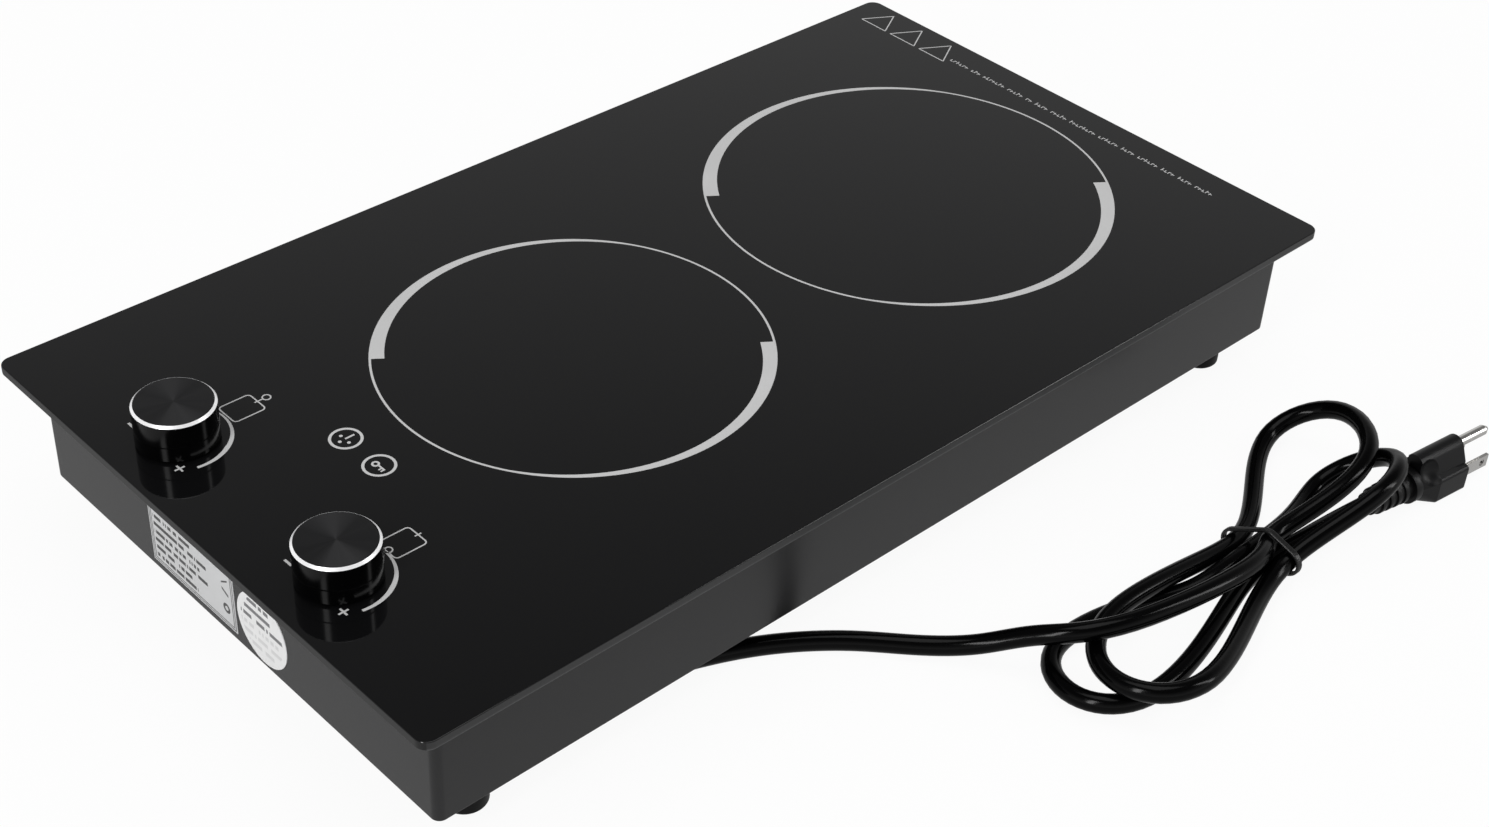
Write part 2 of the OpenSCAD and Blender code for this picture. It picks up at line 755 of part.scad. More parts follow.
// Outline of the bridge seen from the front, one half
module bracket_outline() {
    for (x = [0, 1]) mirror([x, 0]) {
        translate([0, bracket_z]) square([bracket_w / 2, strip_t]);
        translate([bracket_w / 2 - strip_t, floor_z])
            square([strip_t, bracket_z - floor_z + strip_t]);
        translate([bracket_w / 2 - strip_t, floor_z])
            square([bracket_foot + strip_t, strip_t]);
    }
}

module control_bracket() color("#aeb2b5") {
    difference() {
        translate([0, bracket_y + bracket_l, 0]) rotate([90, 0, 0])
            linear_extrude(bracket_l) bracket_outline();
        for (side = SIDES) at_knob(side) translate([0, 0, bracket_z - eps])
            cylinder(r = bush_r + part_clear, h = strip_t + 2 * eps);
        for (x = SIDES, y = bracket_screw_ys)
            translate([x * bracket_screw_x, y, floor_z - eps])
                cylinder(r = screw_r + screw_clear, h = strip_t + 2 * eps, $fn = 32);
    }
}

// ---------------------------------------------------------------- boards

module circuit_board(w, l, y, top, pillar_at) {
    difference() {
        translate([0, y, top - board_t]) linear_extrude(board_t) rounded_rect(w, l, 2);
        translate([0, 0, top - board_t - eps]) at_pillars(pillar_at, y)
            cylinder(r = board_screw_r + part_clear, h = board_t + 2 * eps, $fn = 24);
        children();
    }
}

module control_board() color("#1f6a45") {
    circuit_board(board_w, board_l, board_y, board_z, board_pillar)
        for (side = SIDES) at_knob(side) translate([0, 0, board_z - board_t - eps])
            for (a = [-30, 0, 30]) rotate([0, 0, a]) translate([0, control_pin_ring, 0])
                cylinder(r = control_pin_r + 0.15, h = board_t + 2 * eps, $fn = 16);
}

module touch_springs() color("#d0a24a") {
    turns = 9;
    ring_steps = 16;
    rise = key_spring_h - 2 * key_wire_r;
    helix = [for (i = [0 : turns * ring_steps])
        let (a = 360 * i / ring_steps)
        [key_spring_r * cos(a), key_spring_r * sin(a), key_wire_r + rise * i / turns / ring_steps]];
    at_keys() translate([0, 0, board_z]) tube(helix, key_wire_r, 6);
}

module board_standoffs() color("#c9b458")
    at_pillars(board_pillar, board_y) translate([0, 0, floor_z])
        pillar(board_z - board_t - floor_z, board_screw_r + thread_clear);

module power_standoffs() color("#c9b458")
    at_pillars(power_pillar, power_y) translate([0, 0, floor_z])
        pillar(power_lift, board_screw_r + thread_clear);

module power_board() color("#b08a3c")
    circuit_board(power_w, power_l, power_y, power_z, power_pillar);

module power_relays() color("#1d4f91")
    for (i = [1 : relay_count])
        translate([terminal_x - relay_terminal_gap + relay_gap - i * (relay_size[0] + relay_gap),
                power_y + 4, power_z])
            cube(relay_size);

module power_transformer() color("#5d5a55") {
    centre = [power_w / 2 - 12 - transformer_core[0] / 2,
        power_y - power_l / 2 + 3 + transformer_coil[1] / 2, power_z];
    translate(centre) {
        translate([-transformer_core[0] / 2, -transformer_core[1] / 2, 0])
            cube(transformer_core);
        translate([-transformer_coil[0] / 2, -transformer_coil[1] / 2, 0])
            cube(transformer_coil);
    }
}

module board_fuse() color("#d9d9d2") {
    clip = [2, 2 * fuse_r, fuse_r + 1];
    translate([-power_w / 2 + 20, power_y - 12, power_z]) {
        for (x = [2, fuse_l - 2 - clip[0]]) translate([x, -fuse_r, 0]) cube(clip);
        translate([0, 0, fuse_r + 1]) rotate([0, 90, 0])
            cylinder(r = fuse_r, h = fuse_l, $fn = 32);
    }
}

module mains_terminal() color("#e4e0d2") {
    bore_r = 1.8;
    translate([terminal_x, terminal_y, power_z]) difference() {
        cube(terminal_size);
        for (i = [0 : terminal_ways - 1])
            translate([terminal_pitch * (i + 0.5), terminal_size[1] * 0.75, terminal_size[2] - 5])
                cylinder(r = bore_r, h = 5 + eps, $fn = 24);
    }
}

module board_screws() color("#c8c8c8") {
    at_pillars(board_pillar, board_y) translate([0, 0, board_z]) mirror([0, 0, 1])
        screw(board_screw_r, board_head_r, board_head_h, board_screw_l);
    at_pillars(power_pillar, power_y) translate([0, 0, power_z]) mirror([0, 0, 1])
        screw(board_screw_r, board_head_r, board_head_h, board_screw_l);
}

module heat_shield() color("#b8bcbf") {
    difference() {
        union() {
            translate([-shield_w / 2, shield_y, floor_z])
                cube([shield_w, strip_t, shield_top - floor_z]);
            for (x = [-1, 0, 1])
                translate([x * shield_tab_x - shield_tab_w / 2, shield_y - shield_tab_l, floor_z])
                    cube([shield_tab_w, shield_tab_l + strip_t, strip_t]);
        }
        translate([shield_notch_x, shield_y - eps, floor_z - eps])
            cube([shield_notch_w, strip_t + 2 * eps, shield_notch_h + eps]);
        for (x = [-1, 0, 1])
            translate([x * shield_tab_x, shield_y - shield_tab_l / 2, floor_z - eps])
                cylinder(r = screw_r + screw_clear, h = strip_t + 2 * eps, $fn = 32);
    }
}

module floor_screws() color("#c8c8c8")
    at_floor_screws() translate([0, 0, floor_z + strip_t]) mirror([0, 0, 1])
        screw(screw_r, screw_head_r, screw_head_h, floor_screw_l);

// ---------------------------------------------------------------- heaters

module at_heater(place) translate([0, zone_y(place), 0]) children();

// Hole for the limiter's rod, right across the heater
module rod_hole(r)
    translate([-r - eps, 0, rod_z]) rotate([0, 90, 0])
        cylinder(r = rod_r + part_clear, h = 2 * (r + eps), $fn = 32);

module heater_dish(place) color("#b4b7ba") {
    r = heater_r(place);
    at_heater(place) difference() {
        translate([0, 0, dish_z]) cylinder(r = r, h = heater_h - ring_lip, $fn = 128);
        translate([0, 0, dish_z + dish_t]) cylinder(r = r - dish_t, h = heater_h, $fn = 128);
        rod_hole(r);
    }
}

module heater_base(place) color("#e8e0cf")
    at_heater(place) translate([0, 0, dish_z + dish_t])
        cylinder(r = heater_r(place) - dish_t - part_clear, h = base_t, $fn = 128);

module heater_ring(place) color("#efe9db") {
    outer_r = heater_r(place) - dish_t - part_clear;
    at_heater(place) difference() {
        translate([0, 0, base_top]) cylinder(r = outer_r, h = glass_z - base_top, $fn = 128);
        translate([0, 0, base_top - eps])
            cylinder(r = outer_r - ring_wall, h = heater_h, $fn = 128);
        rod_hole(outer_r);
    }
}

// Angle at which a flat spiral that starts at radius r0 has run the length s
function spiral_angle(r0, pitch, s) =
    let (grow = pitch / 360)
    (-r0 + sqrt(r0 * r0 + 360 * grow * s / PI)) / grow;

function spiral_point(r0, pitch, s, shift) =
    let (a = spiral_angle(r0, pitch, s), r = r0 + pitch * a / 360 + shift)
    [r * cos(a), r * sin(a)];

module heater_ribbon(place) color("#8a5a3a") {
    r0 = 16;
    fold = 6;
    r_end = heater_r(place) - dish_t - part_clear - ring_wall - ribbon_wave - 2;
    run = PI * (r_end * r_end - r0 * r0) / ribbon_pitch;
    folds = floor(run / fold);
    inner = [for (i = [0 : folds])
        spiral_point(r0, ribbon_pitch, i * fold, (i % 2 - 0.5) * ribbon_wave - ribbon_t / 2)];
    outer = [for (i = [folds : -1 : 0])
        spiral_point(r0, ribbon_pitch, i * fold, (i % 2 - 0.5) * ribbon_wave + ribbon_t / 2)];
    at_heater(place) translate([0, 0, base_top]) linear_extrude(ribbon_h)
        polygon(concat(inner, outer));
}

module limiter(place) color("#dcd8cc") {
    r = heater_r(place);
    head_x = r + limiter_gap;
    at_heater(place) {
        translate([-r - 3, 0, rod_z]) rotate([0, 90, 0])
            cylinder(r = rod_r, h = r + 3 + head_x, $fn = 32);
        translate([head_x, -limiter_w / 2, rod_z - limiter_h / 2])
            cube([limiter_l, limiter_w, limiter_h]);
    }
}

// Profile of a sprung bar: flat feet on the floor, middle raised to the dish
module bar_profile() {
    middle = bar_half - bar_foot - 18;
    top = dish_z - strip_t;
    lower = [[-bar_half, floor_z], [-bar_half + bar_foot, floor_z], [-middle, top],
        [middle, top], [bar_half - bar_foot, floor_z], [bar_half, floor_z]];
    upper = [for (i = [len(lower) - 1 : -1 : 0]) lower[i] + [0, strip_t]];
    polygon(concat(lower, upper));
}

module heater_bars(place) color("#a9adb0") {
    at_bars(place) difference() {
        translate([0, bar_w / 2, 0]) rotate([90, 0, 0]) linear_extrude(bar_w) bar_profile();
        for (x = SIDES) translate([x * bar_screw_x, 0, floor_z - eps])
            cylinder(r = screw_r + screw_clear, h = strip_t + 2 * eps, $fn = 32);
    }
}

// ---------------------------------------------------------------- wiring

// Wires 0 and 1 feed the front heater, wires 2 and 3 the rear one. Each keeps its own
// height and its own lane, so that no wire touches another.
function wire_line(k) =
    let (place = k < 2 ? FRONT : REAR,
         z = power_z + 1.8 + wire_pitch * k,
         start = [terminal_x + terminal_pitch * (k + 0.5), terminal_y + terminal_size[1], z],
         aisle_y = shield_y - aisle_gap,
         lane = shield_notch_x + notch_gap + lane_pitch * k,
         head_x = heater_r(place) + limiter_gap + limiter_l * wire_shares[k % 2],
         end = [head_x, zone_y(place), rod_z - limiter_h / 2])
    [start, start + [0, wire_stub, 0], [start[0] + wire_turn, aisle_y, z],
        [lane - lane_lead, aisle_y, z], [lane, aisle_y + 1, z], [lane, shield_y + shield_pass, z],
        [lane, (shield_y + end[1]) / 2, z], [lane, end[1] - wire_rise, z],
        [end[0], end[1], z + hook_rise], end - [0, 0, hook_drop], end];

module heater_wires() color("#c23a2c")
    for (k = [0 : 3]) tube(spline(wire_line(k), 3), wire_r, wire_sides);

// Lead k of the cord, from the strain relief's neck to the end of the terminal
function lead_line(k) =
    let (start = [boot_root[0], boot_root[1] + (k - 1) * 3.4, boot_neck_top],
         end = [terminal_x + terminal_size[0], terminal_y + 2.4 + 3.6 * k, power_z + 5])
    [start, start + [0, 0, 5], start + [-8, 0, 9], end + [14, 0, 3], end + [6, 0, 0], end];

module mains_leads() color("#2f5fb0")
    for (k = [0 : 2]) tube(spline(lead_line(k), 3), wire_r, wire_sides);

// ---------------------------------------------------------------- cord and plug

// Turns the Z axis to the direction in which the cord leaves
module along(dir) {
    rotate([0, acos(dir[2]), atan2(dir[1], dir[0])]) children();
}

module cord_boot() color("#0e0e0e") {
    translate(boot_root) {
        along(boot_dir) {
            cylinder(r1 = boot_r, r2 = boot_tip_r, h = boot_l);
            for (i = [1 : boot_ribs]) {
                z = boot_l * i / (boot_ribs + 1);
                rib_r = boot_r + (boot_tip_r - boot_r) * z / boot_l + boot_rib_h;
                translate([0, 0, z - boot_rib_t / 2]) cylinder(r = rib_r, h = boot_rib_t);
            }
        }
        sphere(r = boot_r);
    }
    translate([boot_root[0], boot_root[1], boot_root[2]])
        cylinder(r = boot_r, h = boot_neck_top - boot_root[2]);
    translate([boot_root[0], boot_root[1], foot_h - boot_flange_t])
        cylinder(r = boot_flange_r, h = boot_flange_t);
}

module boot_collar() color("#e6e6e0")
    translate([boot_root[0], boot_root[1], floor_z]) difference() {
        cylinder(r = collar_r, h = collar_t);
        translate([0, 0, -eps]) cylinder(r = boot_r + 0.1, h = collar_t + 2 * eps);
    }

module mains_cord() color("#0f0f10")
    tube(spline(cord_route, cord_steps), cord_d / 2, cord_sides);

module strand_outline(grow)
    hull() for (p = tie_strands) translate(p) circle(r = cord_d / 2 + grow, $fn = 32);

module cord_tie() color("#141414")
    translate([0, tie_y + tie_w / 2, 0]) rotate([90, 0, 0]) linear_extrude(tie_w)
        intersection() {
            difference() {
                strand_outline(tie_clear + tie_t);
                strand_outline(tie_clear);
            }
            square([far, far]);
        }

module at_plug()
    translate([plug_tip[0], plug_tip[1], 0])
        rotate([0, 0, -atan2(plug_aim[0], plug_aim[1])]) children();

// Turns a round piece so that it stands along the cord's axis, y from the cord's end
module on_plug_axis(y) translate([0, y, plug_z]) rotate([-90, 0, 0]) children();

// Puts a flat outline, seen from behind the plug, upright at y from the cord's end
module upright(y, l) translate([0, y + l, 0]) rotate([90, 0, 0]) linear_extrude(l) children();

module block_outline()
    hull() for (x = SIDES, z = [plug_block_r, plug_block[1] - plug_block_r])
        translate([x * (plug_block[0] / 2 - plug_block_r), z]) circle(r = plug_block_r, $fn = 32);

// Narrow crown round the ground pin; its foot is inside the block
module crown_outline()
    hull() {
        translate([0, pin_z]) circle(r = plug_crown_r, $fn = 48);
        translate([-plug_crown_w / 2, plug_block[1] - 1.5]) square([plug_crown_w, 2]);
        translate([-plug_crown_w / 2 + 3, plug_z]) square([plug_crown_w - 6, 1]);
    }

module plug_body() color("#111112") {
    crown_back = plug_relief_l + plug_collar_l + 1;
    at_plug() difference() {
        union() {
            on_plug_axis(0) cylinder(r1 = boot_tip_r, r2 = plug_relief_r, h = plug_relief_l);
            for (i = [0 : plug_ribs - 1])
                on_plug_axis(4 + i * plug_rib_pitch)
                    cylinder(r = boot_tip_r + 1 + 0.25 * i, h = plug_rib_t);
            on_plug_axis(plug_relief_l) cylinder(r = plug_collar_r, h = plug_collar_l);
            hull() {
                on_plug_axis(plug_relief_l + plug_collar_l - 0.5)
                    cylinder(r = plug_collar_r - 0.6, h = 0.5);
                upright(shoulder_end - 0.5, 0.5) block_outline();
                upright(plug_face - plug_face_step - 0.5, 0.5) block_outline();
            }
            upright(crown_back, plug_face - crown_back) crown_outline();
        }
        for (x = SIDES) translate([x * scoop_x, shoulder_end - scoop_back, pin_z])
            sphere(r = scoop_r);
    }
}

module plug_blades() color("#d7d9da")
    for (x = SIDES) at_plug()
        translate([x * blade_pitch / 2, plug_face - plug_face_step, blade_z]) difference() {
            translate([-blade_t / 2, 0, -blade_h / 2])
                cube([blade_t, blade_l + plug_face_step, blade_h]);
            translate([-blade_t, blade_l + plug_face_step - blade_hole_end, 0])
                rotate([0, 90, 0]) cylinder(r = blade_hole_r, h = 2 * blade_t, $fn = 24);
        }

module plug_ground_pin() color("#d7d9da") {
    tip_l = pin_r;
    at_plug() translate([0, plug_face, pin_z]) rotate([-90, 0, 0]) {
        cylinder(r = pin_r, h = pin_l - tip_l, $fn = 32);
        translate([0, 0, pin_l - tip_l])
            cylinder(r1 = pin_r, r2 = pin_r * 0.45, h = tip_l, $fn = 32);
    }
}

// ---------------------------------------------------------------- what is drawn

glass_plate();
glass_seal();
glass_frame();
frame_posts();
case_screws();
housing_pan();
feet();
foot_screws();
foot_nuts();
rating_plate();
inspection_sticker();
knob_body(LEFT);  // left_knob_body
knob_cap(LEFT);  // left_knob_cap
shaft(LEFT);  // left_shaft
control_body(LEFT);  // left_control_body
control_nut(LEFT);  // left_control_nut
knob_body(RIGHT);  // right_knob_body
knob_cap(RIGHT);  // right_knob_cap
shaft(RIGHT);  // right_shaft
control_body(RIGHT);  // right_control_body
control_nut(RIGHT);  // right_control_nut
control_bracket();
control_board();
touch_springs();
board_standoffs();
power_standoffs();
power_board();
power_relays();
power_transformer();
board_fuse();
mains_terminal();
board_screws();
heat_shield();
floor_screws();
heater_dish(FRONT);  // front_heater_dish
heater_base(FRONT);  // front_heater_base
heater_ring(FRONT);  // front_heater_ring
heater_ribbon(FRONT);  // front_heater_ribbon
limiter(FRONT);  // front_limiter
heater_bars(FRONT);  // front_heater_bars
heater_dish(REAR);  // rear_heater_dish
heater_base(REAR);  // rear_heater_base
heater_ring(REAR);  // rear_heater_ring
heater_ribbon(REAR);  // rear_heater_ribbon
limiter(REAR);  // rear_limiter
heater_bars(REAR);  // rear_heater_bars
heater_wires();
mains_leads();
cord_boot();
boot_collar();
mains_cord();
cord_tie();
plug_body();
plug_blades();
plug_ground_pin();
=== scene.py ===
"""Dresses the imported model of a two-zone glass-ceramic hot plate.

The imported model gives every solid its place. This script adds the camera, the studio,
the finishes, the marks printed on the glass, the turned knobs and the mains cord.
Lengths are metres. The front is -Y, the right is +X and up is +Z.
"""

import functools
import json
import logging
import math
from collections.abc import Callable, Iterable
from dataclasses import dataclass
from enum import Enum

import bmesh
import bpy
from mathutils import Matrix, Vector

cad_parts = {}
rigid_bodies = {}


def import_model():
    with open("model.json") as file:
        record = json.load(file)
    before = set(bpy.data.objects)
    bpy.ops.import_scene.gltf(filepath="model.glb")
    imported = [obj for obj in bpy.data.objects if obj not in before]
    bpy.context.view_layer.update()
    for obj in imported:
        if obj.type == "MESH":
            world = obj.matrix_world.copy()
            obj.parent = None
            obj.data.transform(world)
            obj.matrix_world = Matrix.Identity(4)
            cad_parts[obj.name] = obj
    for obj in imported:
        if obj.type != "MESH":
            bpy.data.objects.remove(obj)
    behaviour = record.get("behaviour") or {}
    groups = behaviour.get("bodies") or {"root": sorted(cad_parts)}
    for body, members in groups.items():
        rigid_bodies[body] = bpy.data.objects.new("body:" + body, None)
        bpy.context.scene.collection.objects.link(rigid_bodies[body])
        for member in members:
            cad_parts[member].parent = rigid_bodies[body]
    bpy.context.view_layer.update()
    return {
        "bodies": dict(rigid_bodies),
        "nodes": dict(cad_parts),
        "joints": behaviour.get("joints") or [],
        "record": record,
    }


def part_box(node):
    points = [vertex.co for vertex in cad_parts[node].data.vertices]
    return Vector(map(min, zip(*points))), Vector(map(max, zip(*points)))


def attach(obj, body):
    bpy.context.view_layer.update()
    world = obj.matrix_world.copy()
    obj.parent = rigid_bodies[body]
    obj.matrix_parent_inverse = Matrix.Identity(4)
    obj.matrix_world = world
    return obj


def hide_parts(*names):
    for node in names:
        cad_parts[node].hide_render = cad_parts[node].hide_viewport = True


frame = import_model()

LOG = logging.getLogger("hot_plate")
MM = 0.001
FIXED_BODY = "cooktop"
Colour = tuple[float, float, float]
Point = tuple[float, float, float]
Pair = tuple[float, float]
Section = list[Pair]
Dressing = tuple[tuple[object, tuple[str, ...]], ...]
Mesh = bmesh.types.BMesh
Node = bpy.types.Node
Socket = bpy.types.NodeSocket
WHITE: Colour = (1.0, 1.0, 1.0)


class Side(Enum):
    """The two sides of the control panel."""

    LEFT = "left"
    RIGHT = "right"


class Place(Enum):
    """The two cooking zones."""

    FRONT = "front"
    REAR = "rear"


# ---------------- shader building


class Signal:
    """One socket of a node tree that carries a number, with arithmetic on it."""

    def __init__(self, shader: "Shader", socket: Socket) -> None:
        """Wraps a socket of a shader's tree."""
        self.shader = shader
        self.socket = socket

    def maths(self, operation: str, *values: "Signal | float") -> "Signal":
        """Adds a Math node that starts from this signal.

        Args:
            operation: the Math node's operation.
            values: the node's further inputs.

        Returns:
            The node's result.
        """
        return self._joined(operation, self, *values)

    def _joined(self, operation: str, *values: "Signal | float") -> "Signal":
        """Adds a Math node that has these inputs in order."""
        made = self.shader.node("ShaderNodeMath", {"operation": operation},
                                dict(enumerate(values)))
        return Signal(self.shader, made.outputs[0])

    def __add__(self, other: "Signal | float") -> "Signal":
        """self + other."""
        return self.maths("ADD", other)

    def __radd__(self, other: float) -> "Signal":
        """other + self."""
        return self.maths("ADD", other)

    def __sub__(self, other: "Signal | float") -> "Signal":
        """self - other."""
        return self.maths("SUBTRACT", other)

    def __rsub__(self, other: float) -> "Signal":
        """other - self."""
        return self._joined("SUBTRACT", other, self)

    def __mul__(self, other: "Signal | float") -> "Signal":
        """self * other."""
        return self.maths("MULTIPLY", other)

    def __rmul__(self, other: float) -> "Signal":
        """other * self."""
        return self.maths("MULTIPLY", other)

    def __truediv__(self, other: "Signal | float") -> "Signal":
        """self / other."""
        return self.maths("DIVIDE", other)

    def __lt__(self, other: "Signal | float") -> "Signal":
        """1 where self is less than other, else 0."""
        return self.maths("LESS_THAN", other)

    def __gt__(self, other: "Signal | float") -> "Signal":
        """1 where self is more than other, else 0."""
        return self.maths("GREATER_THAN", other)

    def __abs__(self) -> "Signal":
        """The signal without its sign."""
        return self.maths("ABSOLUTE")

    def ramp(self, low: float, high: float) -> "Signal":
        """A smooth step from 0 at low to 1 at high."""
        sockets = {"Value": self, "From Min": low, "From Max": high}
        settings = {"interpolation_type": "SMOOTHSTEP"}
        made = self.shader.node("ShaderNodeMapRange", settings, sockets)
        return Signal(self.shader, made.outputs[0])


class Shader:
    """Builds the nodes of one material or world."""

    def __init__(self, owner: bpy.types.Material | bpy.types.World) -> None:
        """Empties the owner's node tree and starts on it."""
        owner.use_nodes = True
        self.tree = owner.node_tree
        self.tree.nodes.clear()

    def node(self, kind: str, settings: dict | None = None,
             sockets: dict | None = None) -> Node:
        """Adds a node.

        Args:
            kind: the node's type.
            settings: its properties, set first; "stops" are a ramp's (place, grey) pairs.
            sockets: its inputs by name or number, each a value, a socket or a Signal.

        Returns:
            The new node.
        """
        made = self.tree.nodes.new(kind)
        for key, value in (settings or {}).items():
            if key == "stops":
                self._set_stops(made, value)
            else:
                setattr(made, key, value)
        for key, value in (sockets or {}).items():
            self._feed(made.inputs[key], value)
        return made

    @staticmethod
    def _set_stops(made: Node, stops: tuple[Pair, ...]) -> None:
        """Gives a colour ramp its grey stops."""
        elements = made.color_ramp.elements
        while len(elements) < len(stops):
            elements.new(1.0)
        for element, (place, level) in zip(elements, stops):
            element.position = place
            element.color = (level, level, level, 1.0)

    def _feed(self, socket: Socket, value: object) -> None:
        """Links or sets one input."""
        if isinstance(value, Signal):
            value = value.socket
        if isinstance(value, Socket):
            self.tree.links.new(value, socket)
        elif isinstance(value, tuple) and len(value) == 3 and socket.type == "RGBA":
            socket.default_value = (*value, 1.0)
        else:
            socket.default_value = value

    def place(self, centre: Point = (0.0, 0.0, 0.0)) -> Socket:
        """The place on the piece, counted from a centre."""
        coordinates = self.node("ShaderNodeTexCoord").outputs["Object"]
        mapping = self.node("ShaderNodeMapping", {"vector_type": "TEXTURE"},
                            {"Vector": coordinates, "Location": centre})
        return mapping.outputs[0]

    def split(self, vector: Socket) -> tuple[Signal, Signal, Signal]:
        """The x, y and z of a vector."""
        made = self.node("ShaderNodeSeparateXYZ", None, {0: vector})
        x, y, z = (Signal(self, output) for output in made.outputs)
        return x, y, z

    def noise(self, vector: Socket, size: float, detail: float = 2.0) -> Signal:
        """Soft noise from 0 to 1.

        Args:
            vector: where the noise is read.
            size: the width of its patches, in metres.
            detail: how many finer layers it has.

        Returns:
            The noise.
        """
        sockets = {"Vector": vector, "Scale": 1.0 / size, "Detail": detail}
        return Signal(self, self.node("ShaderNodeTexNoise", None, sockets).outputs[0])

    def mix(self, share: Signal, first: object, second: object) -> Socket:
        """The first colour where share is 0 and the second where it is 1."""
        made = self.node("ShaderNodeMix", {"data_type": "RGBA"},
                         {0: share, 6: first, 7: second})
        return made.outputs[2]

    def bump(self, height: Signal, depth: float) -> Socket:
        """The normal of a relief whose height runs from 0 to 1 over depth metres."""
        made = self.node("ShaderNodeBump", None,
                         {"Height": height, "Distance": depth, "Strength": 1.0})
        return made.outputs[0]

    def surface(self, sockets: dict) -> None:
        """Ends the material in a Principled shader with these inputs."""
        made = self.node("ShaderNodeBsdfPrincipled", None, sockets)
        self.node("ShaderNodeOutputMaterial", None, {"Surface": made.outputs[0]})


# ---------------- finishes


def tints(colour: Colour, spread: float) -> list[Colour]:
    """A colour's dark and light tint, a share of it below and above."""
    return [tuple(channel * share for channel in colour)
            for share in (1.0 - spread, 1.0 + spread)]


@dataclass(frozen=True)
class Finish:
    """A plain surface with a slight mottle in colour and gloss and a fine relief."""

    name: str
    colour: Colour
    roughness: float = 0.5
    metallic: float = 0.0
    mottle: float = 0.12
    mottle_size: float = 0.02
    gloss_spread: float = 0.06
    grain_size: float = 0.0008
    grain_depth: float = 0.00001
    grain_detail: float = 1.0
    grain_gloss: float = 0.0
    coat: float = 0.0
    shine: float = 0.5

    def build(self, shader: Shader) -> None:
        """Adds this finish's nodes to a material."""
        place = shader.place()
        patches = shader.noise(place, self.mottle_size)
        grain = shader.noise(place, self.grain_size, self.grain_detail)
        gloss = (patches - 0.5) * (2.0 * self.gloss_spread)
        if self.grain_gloss:
            gloss = gloss + (grain - 0.5) * self.grain_gloss
        shader.surface({
            "Base Color": shader.mix(patches, *tints(self.colour, self.mottle)),
            "Roughness": self.roughness + gloss,
            "Metallic": self.metallic,
            "Coat Weight": self.coat,
            "Specular IOR Level": self.shine,
            "Normal": shader.bump(grain, self.grain_depth),
        })


@dataclass(frozen=True)
class DrawnFinish(Finish):
    """Sheet metal with the straight marks of rolling."""

    mark_length: float = 60.0

    def build(self, shader: Shader) -> None:
        """Adds the rolled sheet's nodes."""
        place = shader.place()
        scale = (1.0, 1.0 / self.mark_length, 1.0)
        stretched = shader.node("ShaderNodeMapping", {"vector_type": "POINT"},
                                {"Vector": place, "Scale": scale})
        marks = shader.noise(stretched.outputs[0], self.grain_size)
        patches = shader.noise(place, self.mottle_size)
        dark, _ = tints(self.colour, self.mottle)
        shader.surface({
            "Base Color": shader.mix(marks * patches, dark, self.colour),
            "Roughness": self.roughness + (marks - 0.5) * (2.0 * self.gloss_spread),
            "Metallic": self.metallic,
            "Normal": shader.bump(marks, self.grain_depth),
        })


@dataclass(frozen=True)
class GlassFinish:
    """Black ceramic glass: a polished face and a ground edge, with painted shade along the
    front edge and a painted highlight along the edge's foot.
    """

    name: str
    top: float
    bottom: float
    front: float
    face: Colour = (0.0035, 0.0035, 0.0038)
    # The ground edge has its own grey; the lighter line along its foot is a painted highlight
    # and the darker front edge is painted shade.
    edge: Colour = (0.02, 0.0205, 0.021)
    line: Colour = (0.055, 0.056, 0.057)
    shaded_front_edge: Colour = (0.004, 0.004, 0.0042)
    highlight_line_height: float = 0.8 * MM
    rounding: float = 0.35 * MM
    corner: float = 2.0 * MM
    roughness: float = 0.03
    ground_roughness: float = 0.3
    smear_size: float = 0.11
    smear_roughness: float = 0.035
    ripple_size: float = 0.004
    ripple_depth: float = 0.0000015

    def build(self, shader: Shader) -> None:
        """Adds the glass's nodes."""
        place = shader.place()
        _, along, height = shader.split(place)
        ground = height < (self.top - self.rounding)
        # Painted shade darkens the edge along the front, and a painted highlight lightens a
        # band along the edge's foot.
        is_shaded_front = along < (self.front + self.corner)
        pale = height < (self.bottom + self.highlight_line_height)
        smear = shader.noise(place, self.smear_size, 3.0)
        edge = shader.mix(is_shaded_front, shader.mix(pale, self.edge, self.line), self.shaded_front_edge)
        ripple = shader.noise(place, self.ripple_size, 1.0)
        shader.surface({
            "Base Color": shader.mix(ground, self.face, edge),
            "Roughness": (self.roughness + smear * self.smear_roughness
                          + ground * self.ground_roughness),
            "IOR": 1.5,
            "Normal": shader.bump(ripple, self.ripple_depth),
        })


